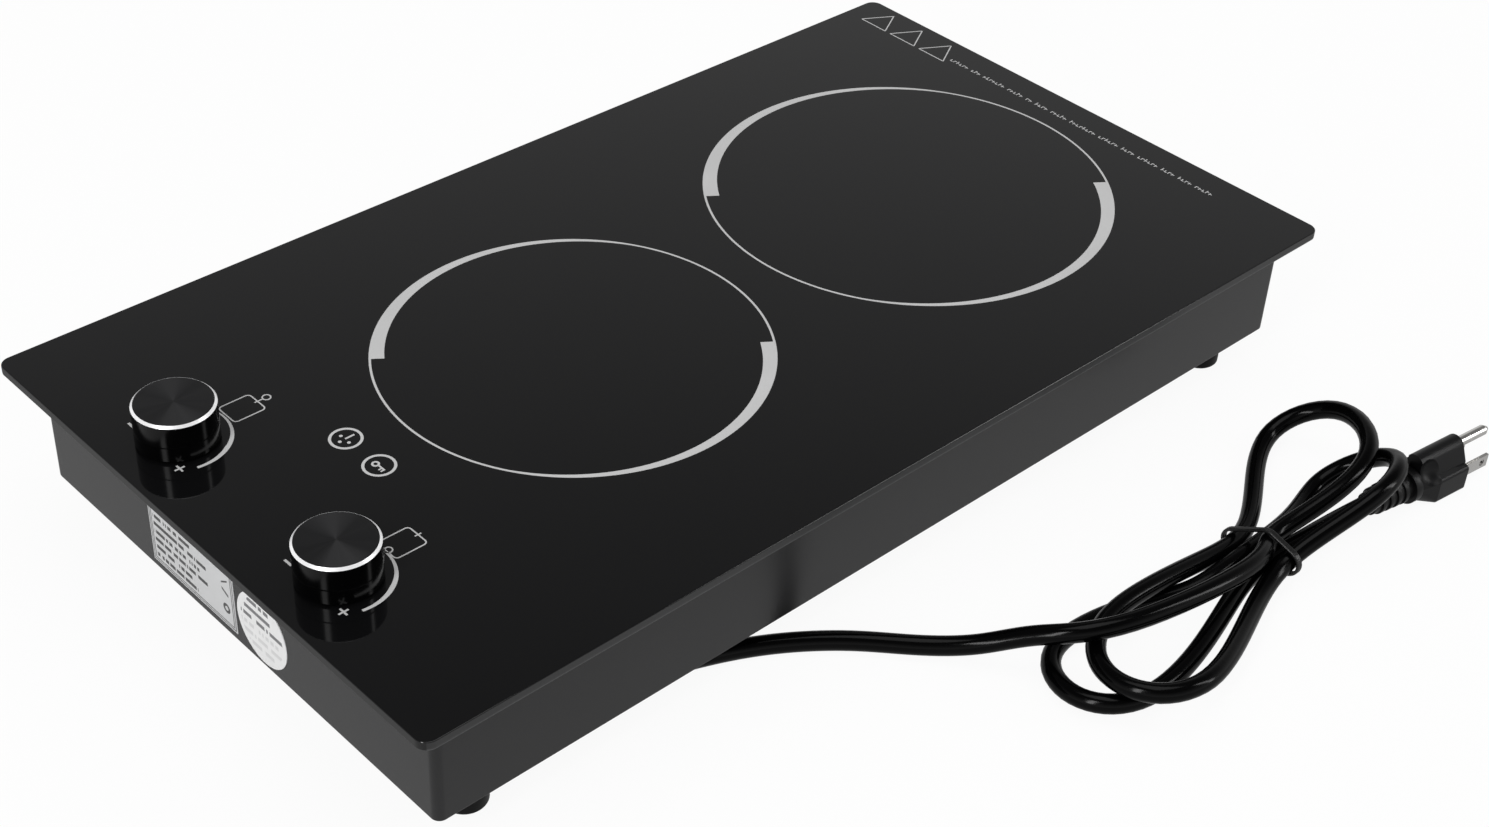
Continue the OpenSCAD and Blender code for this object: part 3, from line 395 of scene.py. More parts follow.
@dataclass(frozen=True)
class SpunFinish:
    """Dark anodised aluminium turned on a lathe: fine rings, and soft spokes of painted sheen
    in its colour.
    """

    name: str
    centre: Point
    # The light colour is painted sheen, laid in spokes round the axis; the dark colour is the
    # face between them.
    dark: Colour = (0.045, 0.045, 0.047)
    light: Colour = (0.066, 0.066, 0.068)
    ring_pitch: float = 0.3 * MM
    ring_depth: float = 0.000002
    spokes: float = 1.6
    painted_sheen_range: Pair = (0.2, 0.8)
    fine_size: float = 0.05
    fine_share: float = 0.45
    roughness: float = 0.36
    fine_roughness: float = 0.08
    stretch: float = 0.75
    across_grain: float = 0.25

    def build(self, shader: Shader) -> None:
        """Adds the turned face's nodes."""
        place = shader.place(self.centre)
        flat = shader.node("ShaderNodeVectorMath", {"operation": "MULTIPLY"},
                           {0: place, 1: (1.0, 1.0, 0.0)})
        around = shader.node("ShaderNodeVectorMath", {"operation": "NORMALIZE"},
                             {0: flat.outputs["Vector"]}).outputs["Vector"]
        reach = Signal(shader, shader.node("ShaderNodeVectorMath", {"operation": "LENGTH"},
                                           {0: flat.outputs["Vector"]}).outputs["Value"])
        # Painted sheen: lighter spokes by angle round the axis, put into the base colour.
        painted_sheen_sectors = shader.noise(around, 1.0 / self.spokes, 1.0).ramp(*self.painted_sheen_range)
        fine = shader.noise(around, self.fine_size, 2.0)
        rings = (reach * (2.0 * math.pi / self.ring_pitch)).maths("SINE") * 0.5 + 0.5
        painted_spoke_sheen = painted_sheen_sectors * ((1.0 - self.fine_share) + fine * self.fine_share)
        shader.surface({
            "Base Color": shader.mix(painted_spoke_sheen, self.dark, self.light),
            "Roughness": self.roughness + fine * self.fine_roughness,
            "Metallic": 1.0,
            "Anisotropic": self.stretch,
            "Anisotropic Rotation": self.across_grain,
            "Normal": shader.bump(rings, self.ring_depth),
        })


@dataclass(frozen=True)
class RingMark:
    """A plain ring with slanted strokes above it, printed on a label.

    All but the place and the reach are shares of the reach. A stroke is its slope, how
    high it stands over the ring's centre and half its width.
    """

    across: float
    up: float
    reach: float
    radius: float = 0.8
    half_line: float = 0.3
    strokes: tuple[tuple[float, float, float], ...] = ((0.6, 6.2, 0.2), (-0.5, 3.8, 0.3))

    def drawn(self, x: Signal, z: Signal) -> Signal:
        """1 where the mark has ink, from a place on the label."""
        beside = x - self.across
        above = z - self.up
        distance = (beside * beside + above * above).maths("SQRT")
        inked = abs(distance - self.reach * self.radius) < self.reach * self.half_line
        for slope, rise, half_width in self.strokes:
            line = abs(above - beside * slope - self.reach * rise) < self.reach * half_width
            inked = inked.maths("MAXIMUM", line * (abs(beside) < self.reach))
        return inked


@dataclass(frozen=True)
class LabelFinish:
    """A printed label: a ground with thin frames, rows of short strokes and plain marks."""

    name: str
    centre: Point
    half_width: float
    half_height: float
    ground: Colour
    ink: Colour
    row_pitch: float
    metallic: float = 0.0
    frame_gaps: tuple[float, ...] = ()
    frame_line: float = 0.5 * MM
    is_round: bool = False
    mottle: float = 0.1
    lower_ink: float = 1.0
    cover: float = 0.9
    margin: float = 3.2 * MM
    letter: float = 0.8 * MM
    half_stroke: float = 0.23
    text_share: float = 1.0
    shortest_row: float = 0.55
    gap_share: float = 0.2
    mark: RingMark | None = None
    roughness: float = 0.34
    sheen_size: float = 0.012
    sheen_roughness: float = 0.12
    ink_roughness: float = 0.1
    relief_size: float = 0.003
    relief_depth: float = 0.00002

    def build(self, shader: Shader) -> None:
        """Adds the label's nodes."""
        place = shader.place(self.centre)
        x, _, z = shader.split(place)
        if self.is_round:
            inside = self.half_width - (x * x + z * z).maths("SQRT")
        else:
            inside = (self.half_width - abs(x)).maths("MINIMUM", self.half_height - abs(z))
        fade = self.lower_ink + (1.0 - self.lower_ink) * (z > 0.0)
        ink = self._rows(shader, x, z) * (inside > self.margin) * fade
        for gap in self.frame_gaps:
            frame = (inside > gap) * (inside < gap + self.frame_line)
            ink = ink.maths("MAXIMUM", frame)
        if self.mark:
            ink = ink.maths("MAXIMUM", self.mark.drawn(x, z))
        ink = ink * self.cover
        sheen = shader.noise(place, self.sheen_size)
        dull, _ = tints(self.ground, self.mottle)
        ground = shader.mix(sheen, dull, self.ground)
        relief = shader.noise(place, self.relief_size)
        shader.surface({
            "Base Color": shader.mix(ink, ground, self.ink),
            "Roughness": (self.roughness + sheen * self.sheen_roughness
                          + ink * self.ink_roughness),
            "Metallic": self.metallic * (1.0 - ink),
            "Normal": shader.bump(relief, self.relief_depth),
        })

    def _rows(self, shader: Shader, x: Signal, z: Signal) -> Signal:
        """Rows of strokes of uneven length, broken into words."""
        rows = z / self.row_pitch
        row = rows.maths("FLOOR")
        column = (x / self.letter).maths("FLOOR")
        # The second number keeps the rows' chances apart from the letters' chances.
        chance = self._chance(shader, row, row * 0.37 + 3.1)
        length = chance * (1.0 - self.shortest_row) + self.shortest_row
        is_letter = self._chance(shader, column, row) > self.gap_share
        written = is_letter * (abs(rows.maths("FRACT") - 0.5) < self.half_stroke)
        end = length * (self.text_share * 2.0 * self.half_width) - self.half_width
        return written * (x < end)

    @staticmethod
    def _chance(shader: Shader, first: Signal, second: Signal) -> Signal:
        """A number from 0 to 1 that differs from cell to cell."""
        cell = shader.node("ShaderNodeCombineXYZ", None, {0: first, 1: second})
        made = shader.node("ShaderNodeTexWhiteNoise", {"noise_dimensions": "3D"},
                           {"Vector": cell.outputs[0]})
        return Signal(shader, made.outputs["Value"])


@functools.cache
def material_of(finish: object) -> bpy.types.Material:
    """The material of a finish, made once.

    Args:
        finish: one of the finish classes above.

    Returns:
        The Blender material.
    """
    material = bpy.data.materials.new(finish.name)
    finish.build(Shader(material))
    return material


STEEL = DrawnFinish("rolled_steel", (0.55, 0.56, 0.57), roughness=0.34, metallic=1.0,
                    grain_size=0.0006)
ZINC = Finish("zinc_plating", (0.6, 0.6, 0.58), roughness=0.32, metallic=1.0, mottle=0.15,
              mottle_size=0.004)
SILICONE = Finish("black_silicone", (0.02, 0.02, 0.02), roughness=0.55)
FOOT_RUBBER = Finish("foot_rubber", (0.003, 0.003, 0.003), roughness=0.42,
                     grain_size=0.0009, shine=0.15)
CORD_JACKET = Finish("cord_jacket", (0.0008, 0.0008, 0.0009), roughness=0.15,
                     mottle_size=0.03, gloss_spread=0.03, grain_size=0.0025,
                     grain_depth=0.00002, shine=0.13)
PLUG_RUBBER = Finish("moulded_plug", (0.003, 0.003, 0.0033), roughness=0.36,
                     grain_size=0.0007, grain_depth=0.00002, shine=0.25)
TIE_PLASTIC = Finish("tie_plastic", (0.004, 0.004, 0.004), roughness=0.35)
NICKEL = Finish("nickel_blade", (0.72, 0.71, 0.69), roughness=0.22, metallic=1.0,
                mottle=0.1, mottle_size=0.005)
KNOB_LACQUER = Finish("knob_lacquer", (0.0005, 0.0005, 0.0006), roughness=0.17,
                      mottle_size=0.012, gloss_spread=0.02, grain_depth=0.000001, shine=0.3)
BRIGHT_RIM = Finish("cut_rim", (0.96, 0.96, 0.97), roughness=0.32, metallic=0.35,
                    mottle=0.02, mottle_size=0.004, gloss_spread=0.03, grain_depth=0.000001)
TURNED_STEEL = Finish("turned_steel", (0.58, 0.58, 0.59), roughness=0.28, metallic=1.0,
                      mottle=0.08, mottle_size=0.003)
CONTROL_METAL = Finish("control_case", (0.48, 0.5, 0.52), roughness=0.38, metallic=1.0)
BOARD_GREEN = Finish("green_board", (0.015, 0.15, 0.06), roughness=0.35, coat=0.3)
BOARD_TAN = Finish("tan_board", (0.38, 0.22, 0.07), roughness=0.45)
SPRING_BRASS = Finish("spring_brass", (0.68, 0.46, 0.18), roughness=0.28, metallic=1.0)
RELAY_BLUE = Finish("relay_blue", (0.02, 0.08, 0.32), roughness=0.38)
COIL_IRON = Finish("transformer_iron", (0.11, 0.1, 0.09), roughness=0.5, metallic=0.7)
FUSE_CERAMIC = Finish("fuse_ceramic", (0.72, 0.72, 0.68), roughness=0.3)
TERMINAL_CERAMIC = Finish("terminal_ceramic", (0.7, 0.66, 0.56), roughness=0.6)
INSULATION = Finish("pressed_insulation", (0.74, 0.68, 0.54), roughness=0.9,
                    grain_size=0.002, grain_depth=0.0003)
RIBBON_ALLOY = Finish("oxidised_ribbon", (0.2, 0.13, 0.09), roughness=0.55, metallic=0.6,
                      mottle=0.3, mottle_size=0.01)
LIMITER_CERAMIC = Finish("limiter_ceramic", (0.7, 0.67, 0.6), roughness=0.5)
WIRE_RED = Finish("red_sleeving", (0.42, 0.03, 0.02), roughness=0.55)
WIRE_BLUE = Finish("blue_sleeving", (0.02, 0.07, 0.36), roughness=0.55)
COLLAR_PLASTIC = Finish("collar_plastic", (0.7, 0.7, 0.67), roughness=0.45)
# Its broad mottle in colour is partly the paint's own uneven tone and partly painted
# reflection: soft lighter and darker bands along the walls.
POWDER_COAT = Finish("black_powder_coat", (0.011, 0.011, 0.0115), roughness=0.21, mottle=0.3,
                     mottle_size=0.09, gloss_spread=0.03, grain_size=0.0011,
                     grain_depth=0.00005, grain_detail=2.0, grain_gloss=0.12)
PRINT = Finish("grey_print", (0.5, 0.5, 0.5), roughness=0.5, mottle=0.06, grain_size=0.0004)


# ---------------- pieces

# Points and heights that are closer than this are the same, in metres.
SAME_PLACE = 0.002 * MM
COPY_GAP = 0.005 * MM
SAME_HEIGHT = 0.01 * MM
# The angles past which an edge is shaded as one, rounded as one and kept as one.
SHARP_EDGE = math.radians(35.0)
CORNER_EDGE = math.radians(60.0)
FLAT_EDGE = math.radians(0.5)
TURN_STEPS = 96
ROUNDING_STEPS = 3


def cad(node: str) -> bpy.types.Object:
    """The object of a CAD node."""
    return frame["nodes"][node]


def low(node: str) -> Vector:
    """The lowest corner of a CAD node."""
    return Vector(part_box(node)[0])


def high(node: str) -> Vector:
    """The highest corner of a CAD node."""
    return Vector(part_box(node)[1])


def middle(node: str) -> Vector:
    """The middle of a CAD node's box."""
    return (low(node) + high(node)) / 2.0


def half_size(node: str) -> Vector:
    """Half the size of a CAD node's box."""
    return (high(node) - low(node)) / 2.0


def dress(finish: object, *nodes: str) -> None:
    """Gives CAD nodes the material of a finish."""
    for node in nodes:
        for slot in cad(node).material_slots:
            slot.material = material_of(finish)
        LOG.info("dressed %s with %s", node, finish.name)


def soften(node: str, width: float, angle: float = 40.0) -> None:
    """Rounds the sharp edges of a CAD node with modifiers.

    Args:
        node: the CAD node's name.
        width: the width of the rounding, in metres.
        angle: edges sharper than this many degrees are rounded.
    """
    weld = cad(node).modifiers.new("weld", "WELD")
    weld.merge_threshold = SAME_HEIGHT
    bevel = cad(node).modifiers.new("rounding", "BEVEL")
    bevel.width = width
    bevel.segments = ROUNDING_STEPS
    bevel.limit_method = "ANGLE"
    bevel.angle_limit = math.radians(angle)
    bevel.harden_normals = False


def place_in_scene(name: str, data: bpy.types.ID) -> bpy.types.Object:
    """Makes an object of a mesh, a curve, a lamp or a camera and puts it in the scene."""
    made = bpy.data.objects.new(name, data)
    bpy.context.scene.collection.objects.link(made)
    return made


def piece(name: str, shape: Mesh, finish: object, body: str = FIXED_BODY,
          replaces: tuple[str, ...] = ()) -> None:
    """Turns a bmesh into a finished piece.

    Args:
        name: the piece's name.
        shape: its mesh, which is used up.
        finish: its finish.
        body: the CAD body that it moves with.
        replaces: the CAD nodes that it stands for.
    """
    bmesh.ops.remove_doubles(shape, verts=shape.verts, dist=SAME_PLACE)
    bmesh.ops.recalc_face_normals(shape, faces=shape.faces)
    for edge in shape.edges:
        edge.smooth = edge.calc_face_angle(0.0) < SHARP_EDGE
    for face in shape.faces:
        face.smooth = True
    mesh = bpy.data.meshes.new(name)
    shape.to_mesh(mesh)
    shape.free()
    made = place_in_scene(name, mesh)
    mesh.materials.append(material_of(finish))
    even = made.modifiers.new("even_shading", "WEIGHTED_NORMAL")
    even.keep_sharp = True
    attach(made, body)
    if replaces:
        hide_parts(*replaces)
    LOG.info("built %s with %d faces", name, len(mesh.polygons))


def rounded_copy(node: str, radius: float, steps: int,
                 is_wanted: Callable[[Vector], bool] = lambda place: True) -> Mesh:
    """A copy of a CAD node's mesh in whole faces, with its sharp level edges rounded.

    Args:
        node: the CAD node's name.
        radius: the radius of the rounding, in metres.
        steps: the number of steps in it.
        is_wanted: whether an edge with its middle at a place is rounded.

    Returns:
        The copy.
    """
    shape = bmesh.new()
    shape.from_mesh(cad(node).data)
    bmesh.ops.remove_doubles(shape, verts=shape.verts, dist=COPY_GAP)
    bmesh.ops.dissolve_limit(shape, angle_limit=FLAT_EDGE, verts=shape.verts,
                             edges=shape.edges)
    chosen = []
    for edge in shape.edges:
        first, second = (vert.co for vert in edge.verts)
        is_level = abs(first.z - second.z) < SAME_HEIGHT
        is_corner = is_level and edge.calc_face_angle(0.0) > CORNER_EDGE
        if is_corner and is_wanted((first + second) / 2.0):
            chosen.append(edge)
    bmesh.ops.bevel(shape, geom=chosen, offset=radius, offset_type="OFFSET", segments=steps,
                    profile=0.5, affect="EDGES", material=-1)
    return shape


def lathe(section: Section, centre: Point) -> Mesh:
    """Turns a closed section round an upright axis.

    Args:
        section: (radius, height) pairs in millimetres, in order.
        centre: the foot of the axis.

    Returns:
        The turned mesh.
    """
    shape = bmesh.new()
    verts = [shape.verts.new((centre[0] + radius * MM, centre[1], centre[2] + height * MM))
             for radius, height in section]
    for first, second in zip(verts, verts[1:] + verts[:1]):
        shape.edges.new((first, second))
    bmesh.ops.spin(shape, geom=list(shape.verts) + list(shape.edges), cent=centre,
                   axis=(0.0, 0.0, 1.0), angle=2.0 * math.pi, steps=TURN_STEPS,
                   use_merge=True)
    bmesh.ops.remove_doubles(shape, verts=shape.verts, dist=SAME_PLACE)
    bmesh.ops.dissolve_degenerate(shape, edges=shape.edges, dist=SAME_PLACE / 2.0)
    return shape


# ---------------- marks on the glass

INK_GAP = 0.005 * MM
INK_THICKNESS = 0.04 * MM
INK_OVERLAP = 0.003 * MM


@dataclass(frozen=True)
class Taper:
    """How the width of a curved stroke changes, as shares of its full width.

    It starts at one share, is full at an angle, would be gone after a further angle and
    doesn't get thinner than its last share. Angles are in degrees.
    """

    start: float
    full_at: float
    fall: float
    end: float

    def at(self, turned: float) -> float:
        """The share at an angle from the start."""
        rise = self.start + (1.0 - self.start) * turned / max(self.full_at, 1.0)
        return max(self.end, min(rise, 1.0 - (turned - self.full_at) / self.fall))


@dataclass(frozen=True)
class Mark:
    """A mark printed on the glass, its place and sizes in millimetres."""

    x: float
    y: float

    def draw(self, shape: Mesh, centre: Vector) -> None:
        """Adds the mark's flat faces round its centre to a mesh."""
        raise NotImplementedError


@dataclass(frozen=True)
class Arc(Mark):
    """A ring, or an arc from an angle over a sweep in degrees, its radius the outer one."""

    radius: float
    width: float
    start: float = 0.0
    sweep: float = 360.0
    taper: Taper | None = None
    fewest_steps: int = 8
    steps_per_degree: float = 0.35
    step_radius: float = 220.0

    def draw(self, shape: Mesh, centre: Vector) -> None:
        """Turns a short line round the centre and thins the stroke from inside."""
        before = set(shape.verts)
        turn = math.radians(self.start)
        way = Vector((math.cos(turn), math.sin(turn), 0.0))
        ends = [shape.verts.new(centre + way * (radius * MM))
                for radius in (self.radius - self.width, self.radius)]
        edge = shape.edges.new(ends)
        density = self.steps_per_degree + self.radius / self.step_radius
        bmesh.ops.spin(shape, geom=[*ends, edge], cent=centre, axis=(0.0, 0.0, 1.0),
                       angle=math.radians(self.sweep),
                       steps=max(self.fewest_steps, int(abs(self.sweep) * density)),
                       use_merge=self.sweep == 360.0)
        if not self.taper:
            return
        for vert in [vert for vert in shape.verts if vert not in before]:
            way = vert.co - centre
            if way.length < (self.radius - self.width / 2.0) * MM:
                angle = math.degrees(math.atan2(way.y, way.x)) - self.start
                # One degree of slack keeps the first point from counting as a full turn.
                turned = (math.copysign(1.0, self.sweep) * angle + 1.0) % 360.0 - 1.0
                radius = (self.radius - self.width * self.taper.at(turned)) * MM
                vert.co = centre + way.normalized() * radius


@dataclass(frozen=True)
class Bar(Mark):
    """A straight stroke, turned by degrees from the X axis, maybe over another mark."""

    length: float
    width: float
    turn: float = 0.0
    is_over: bool = False

    def draw(self, shape: Mesh, centre: Vector) -> None:
        """Adds the stroke, a little higher where it crosses another mark."""
        place = centre + Vector((0.0, 0.0, INK_OVERLAP if self.is_over else 0.0))
        size = Matrix.Diagonal((self.length * MM, self.width * MM, 1.0, 1.0))
        spin = Matrix.Rotation(math.radians(self.turn), 4, "Z")
        bmesh.ops.create_grid(shape, x_segments=1, y_segments=1, size=0.5,
                              matrix=Matrix.Translation(place) @ spin @ size)


@dataclass(frozen=True)
class Dot(Mark):
    """A filled dot."""

    radius: float
    steps: int = 20

    def draw(self, shape: Mesh, centre: Vector) -> None:
        """Adds the dot."""
        bmesh.ops.create_circle(shape, cap_ends=True, segments=self.steps,
                                radius=self.radius * MM, matrix=Matrix.Translation(centre))


class Form(Enum):
    """Outlines: a circle's steps, the width and length that they give it, and its turn."""

    TRIANGLE = (3, math.sqrt(3.0), 1.5, 0.0)
    RECTANGLE = (4, math.sqrt(2.0), math.sqrt(2.0), 45.0)


@dataclass(frozen=True)
class Outline(Mark):
    """A form's outline with rounded corners; a triangle points away from the front."""

    form: Form
    width: float
    length: float
    line: float = 0.6
    corner: float = 2.0
    corner_steps: int = 5

    def draw(self, shape: Mesh, centre: Vector) -> None:
        """Rounds the corners of a face and keeps the border of it."""
        steps, across, along, turn = self.form.value
        size = Matrix.Diagonal((self.width * MM / across, self.length * MM / along, 1.0, 1.0))
        spin = Matrix.Rotation(math.radians(turn), 4, "Z")
        made = bmesh.ops.create_circle(shape, cap_ends=True, segments=steps, radius=1.0,
                                       matrix=Matrix.Translation(centre) @ size @ spin)
        bmesh.ops.bevel(shape, geom=made["verts"], offset=self.corner * MM,
                        offset_type="OFFSET", segments=self.corner_steps, profile=0.5,
                        affect="VERTICES", material=-1)
        inside = min(shape.faces, key=lambda face: (face.calc_center_median() - centre).length)
        bmesh.ops.inset_region(shape, faces=[inside], thickness=self.line * MM,
                               use_boundary=True, use_even_offset=True)
        bmesh.ops.delete(shape, geom=[inside], context="FACES_ONLY")


def print_marks(name: str, marks: Iterable[Mark], x: float = 0.0, y: float = 0.0) -> None:
    """Prints marks on the glass as one piece.

    Args:
        name: the piece's name.
        marks: the marks.
        x: how far across they are moved, in millimetres.
        y: how far along they are moved, in millimetres.
    """
    shape = bmesh.new()
    height = high("glass_plate").z + INK_GAP
    for mark in marks:
        mark.draw(shape, Vector(((x + mark.x) * MM, (y + mark.y) * MM, height)))
    for face in shape.faces:
        if face.normal.z < 0.0:
            face.normal_flip()
    made = bmesh.ops.extrude_face_region(shape, geom=list(shape.faces))
    top = [item for item in made["geom"] if isinstance(item, bmesh.types.BMVert)]
    bmesh.ops.translate(shape, verts=top, vec=(0.0, 0.0, INK_THICKNESS))
    piece(name, shape, PRINT)


@dataclass
class ZoneRing:
    """The circle and the two crescents round one cooking zone, in millimetres."""

    place: Place
    radius: float
    widest: float
    line: float = 1.0
    wide_end: float = 54.6
    fall: float = 112.0
    shift: float = -0.6

    def build(self) -> None:
        """Prints the ring."""
        thin = self.line / self.widest
        taper = Taper(start=1.0, full_at=0.0, fall=self.fall / (1.0 - thin), end=thin)
        centre = middle(f"{self.place.value}_heater_base") / MM
        print_marks(f"{self.place.value}_zone_print",
                    [Arc(self.shift, 0.0, self.radius, self.widest, self.wide_end + turn,
                         -180.0, taper) for turn in (0.0, 180.0)], centre.x, centre.y)


@dataclass
class RearMarks:
    """Three plain triangles and stand-in lettering by the rear edge, in millimetres."""

    triangles: tuple[Outline, ...] = tuple(
        Outline(x, 240.0, Form.TRIANGLE, 18.0, 16.1, corner=0.9)
        for x in (-124.3, -103.8, -83.3))
    word_lengths: tuple[int, ...] = (6, 3, 7, 5, 2, 4, 5, 8, 6, 4, 6, 4, 4, 5)
    words_start: float = -73.0
    words_y: float = 238.3
    pitch: float = 2.04
    stroke: float = 0.45
    reach: float = 1.05
    short: float = 1.8
    tall: float = 2.6

    def build(self) -> None:
        """Prints the triangles and, letter by letter, an upright and a short stroke."""
        letters = []
        x = self.words_start
        for length in self.word_lengths:
            for index in range(length):
                # Every fourth letter is tall, and the short strokes sit at three heights.
                height = self.tall if (index + length) % 4 == 0 else self.short
                share = (index * 2 + length) % 3 / 2.0
                rise = self.stroke / 2.0 + share * (self.short - self.stroke)
                letters += [Bar(x, self.words_y + height / 2.0, height, self.stroke, 90.0),
                            Bar(x + (self.stroke + self.reach) / 2.0, self.words_y + rise,
                                self.reach, self.stroke)]
                x += self.pitch
            x += self.pitch
        print_marks("rear_edge_print", [*self.triangles, *letters])


TOUCH_KEYS = (Arc(-12.0, 0.0, 6.95, 1.2), Arc(10.2, 0.0, 6.95, 1.2),
              Bar(-12.0, 1.9, 4.4, 0.9, 90.0), Dot(-14.6, -0.55, 0.75),
              Dot(-9.1, -0.55, 0.75), Dot(-11.8, -3.0, 0.75), Arc(8.5, -0.55, 1.75, 0.9),
              Bar(12.1, -0.2, 3.9, 0.8), Bar(12.3, -1.1, 1.6, 0.7, 90.0, True),
              Bar(13.7, -1.1, 1.6, 0.7, 90.0, True))
POWER_ARC = Arc(0.0, 0.0, 21.6, 2.0, start=-12.0, sweep=202.0,
                taper=Taper(start=0.62, full_at=45.0, fall=100.0, end=0.3))
PLUS_AND_MINUS = (Bar(16.75, -9.9, 4.5, 0.85), Bar(16.75, -9.9, 4.5, 0.85, 90.0, True),
                  Bar(-18.5, -9.7, 4.4, 1.1))
ZONE_SIGNS = {
    Side.LEFT: (Outline(-0.4, 29.7, Form.RECTANGLE, 12.9, 15.2),
                Arc(-0.4, 41.25, 2.0, 0.6), Bar(-0.4, 37.4, 3.6, 0.6, 90.0, True)),
    Side.RIGHT: (Outline(-0.7, 29.0, Form.RECTANGLE, 12.8, 15.2),
                 Arc(-0.7, 22.6, 1.9, 0.6), Bar(-0.7, 36.3, 3.1, 0.6, 90.0, True)),
}


@dataclass
class GlassTop:
    """The ceramic glass with its seal, frame and printed marks."""

    rounding: float = 0.45 * MM
    rounding_steps: int = 4
    rings: tuple[ZoneRing, ...] = (ZoneRing(Place.FRONT, 84.8, 6.5),
                                   ZoneRing(Place.REAR, 95.6, 7.1))

    def build(self) -> None:
        """Dresses the glass and prints the marks on it."""
        foot, top = low("glass_plate"), high("glass_plate")
        piece("glass_pane", rounded_copy("glass_plate", self.rounding, self.rounding_steps),
              GlassFinish("black_ceramic_glass", top.z, foot.z, foot.y),
              replaces=("glass_plate",))
        dress(SILICONE, "glass_seal")
        dress(STEEL, "glass_frame", "frame_posts")
        for ring in self.rings:
            ring.build()
        print_marks("touch_key_print", TOUCH_KEYS, y=middle("touch_springs").y / MM)
        RearMarks().build()


# ---------------- knobs and controls


@dataclass
class Knob:
    """One turned knob with its marks and its control under the glass, in millimetres."""

    side: Side
    skirt: float = 6.5
    groove: float = 0.5
    groove_depth: float = 0.35
    groove_lead: float = 0.05
    foot_chamfer: float = 0.25
    wall: float = 2.0
    roof: float = 2.2
    hub: float = 5.5
    hub_foot: float = 1.5
    bore: float = 3.02
    rim: float = 1.0
    rim_edge: Pair = (0.06, 0.08)
    tuck: float = 0.03
    seat: float = 0.01
    ease: float = 0.02
    broken_edge: float = 0.05
    disc_gap: float = 0.04

    def build(self) -> None:
        """Prints the marks, builds the knob and dresses its control."""
        name = self.side.value
        shaft = middle(f"{name}_shaft") / MM
        print_marks(f"{name}_knob_print", (POWER_ARC, *PLUS_AND_MINUS, *ZONE_SIGNS[self.side]),
                    shaft.x, shaft.y)
        body, grip_node, cap_node = (f"{name}_knob{part}" for part in ("", "_body", "_cap"))
        foot, top = low(grip_node), high(grip_node)
        radius = half_size(grip_node).x / MM
        axis = middle(grip_node)
        cap_foot = Vector((axis.x, axis.y, top.z))
        piece(f"{name}_knob_grip",
              lathe(self._grip(radius, (top.z - foot.z) / MM), (axis.x, axis.y, foot.z)),
              KNOB_LACQUER, body, (grip_node,))
        finishes = {"rim": BRIGHT_RIM, "collar": KNOB_LACQUER,
                    "disc": SpunFinish(f"{name}_spun_face_with_painted_sheen", tuple(cap_foot))}
        sections = self._cap(radius, (high(cap_node).z - top.z) / MM)
        for part, finish in finishes.items():
            piece(f"{name}_knob_{part}", lathe(sections[part], cap_foot), finish, body,
                  (cap_node,))
        dress(TURNED_STEEL, f"{name}_shaft")
        dress(CONTROL_METAL, f"{name}_control_body")
        dress(ZINC, f"{name}_control_nut")

    def _grip(self, radius: float, height: float) -> Section:
        """The section of the black grip, from its outer radius and its height."""
        inner = radius - self.wall
        ceiling = height - self.roof
        notch = radius - self.groove_depth
        notch_top = self.skirt + self.groove
        lead = self.groove_lead
        return [
            (0.0, ceiling), (self.bore, ceiling), (self.bore, self.hub_foot),
            (self.hub, self.hub_foot), (self.hub, ceiling), (inner, ceiling), (inner, 0.0),
            (radius - self.foot_chamfer, 0.0), (radius, self.foot_chamfer),
            (radius, self.skirt - 2.0 * lead), (notch, self.skirt + lead),
            (notch, notch_top - lead), (radius, notch_top + 2.0 * lead),
            (radius, height), (0.0, height),
        ]

    def _cap(self, radius: float, height: float) -> dict[str, Section]:
        """The sections of the cap's bright chamfer, the black side under it and its disc."""
        inner, chamfer = radius - self.rim, height - self.rim
        edge, face = inner - self.disc_gap, height - self.ease
        edge_in, edge_up = self.rim_edge
        return {
            "rim": [(inner - self.tuck, chamfer + self.seat),
                    (radius - self.ease, chamfer + self.seat),
                    (radius - edge_in, chamfer + edge_up), (inner, height),
                    (inner - self.tuck, height)],
            "collar": [(inner, self.seat), (radius, self.seat),
                       (radius, chamfer - self.broken_edge), (radius - self.ease, chamfer),
                       (inner, chamfer)],
            "disc": [(0.0, self.seat), (edge, self.seat), (edge, face - self.ease),
                     (edge - self.broken_edge, face), (0.0, face)],
        }


# ---------------- housing


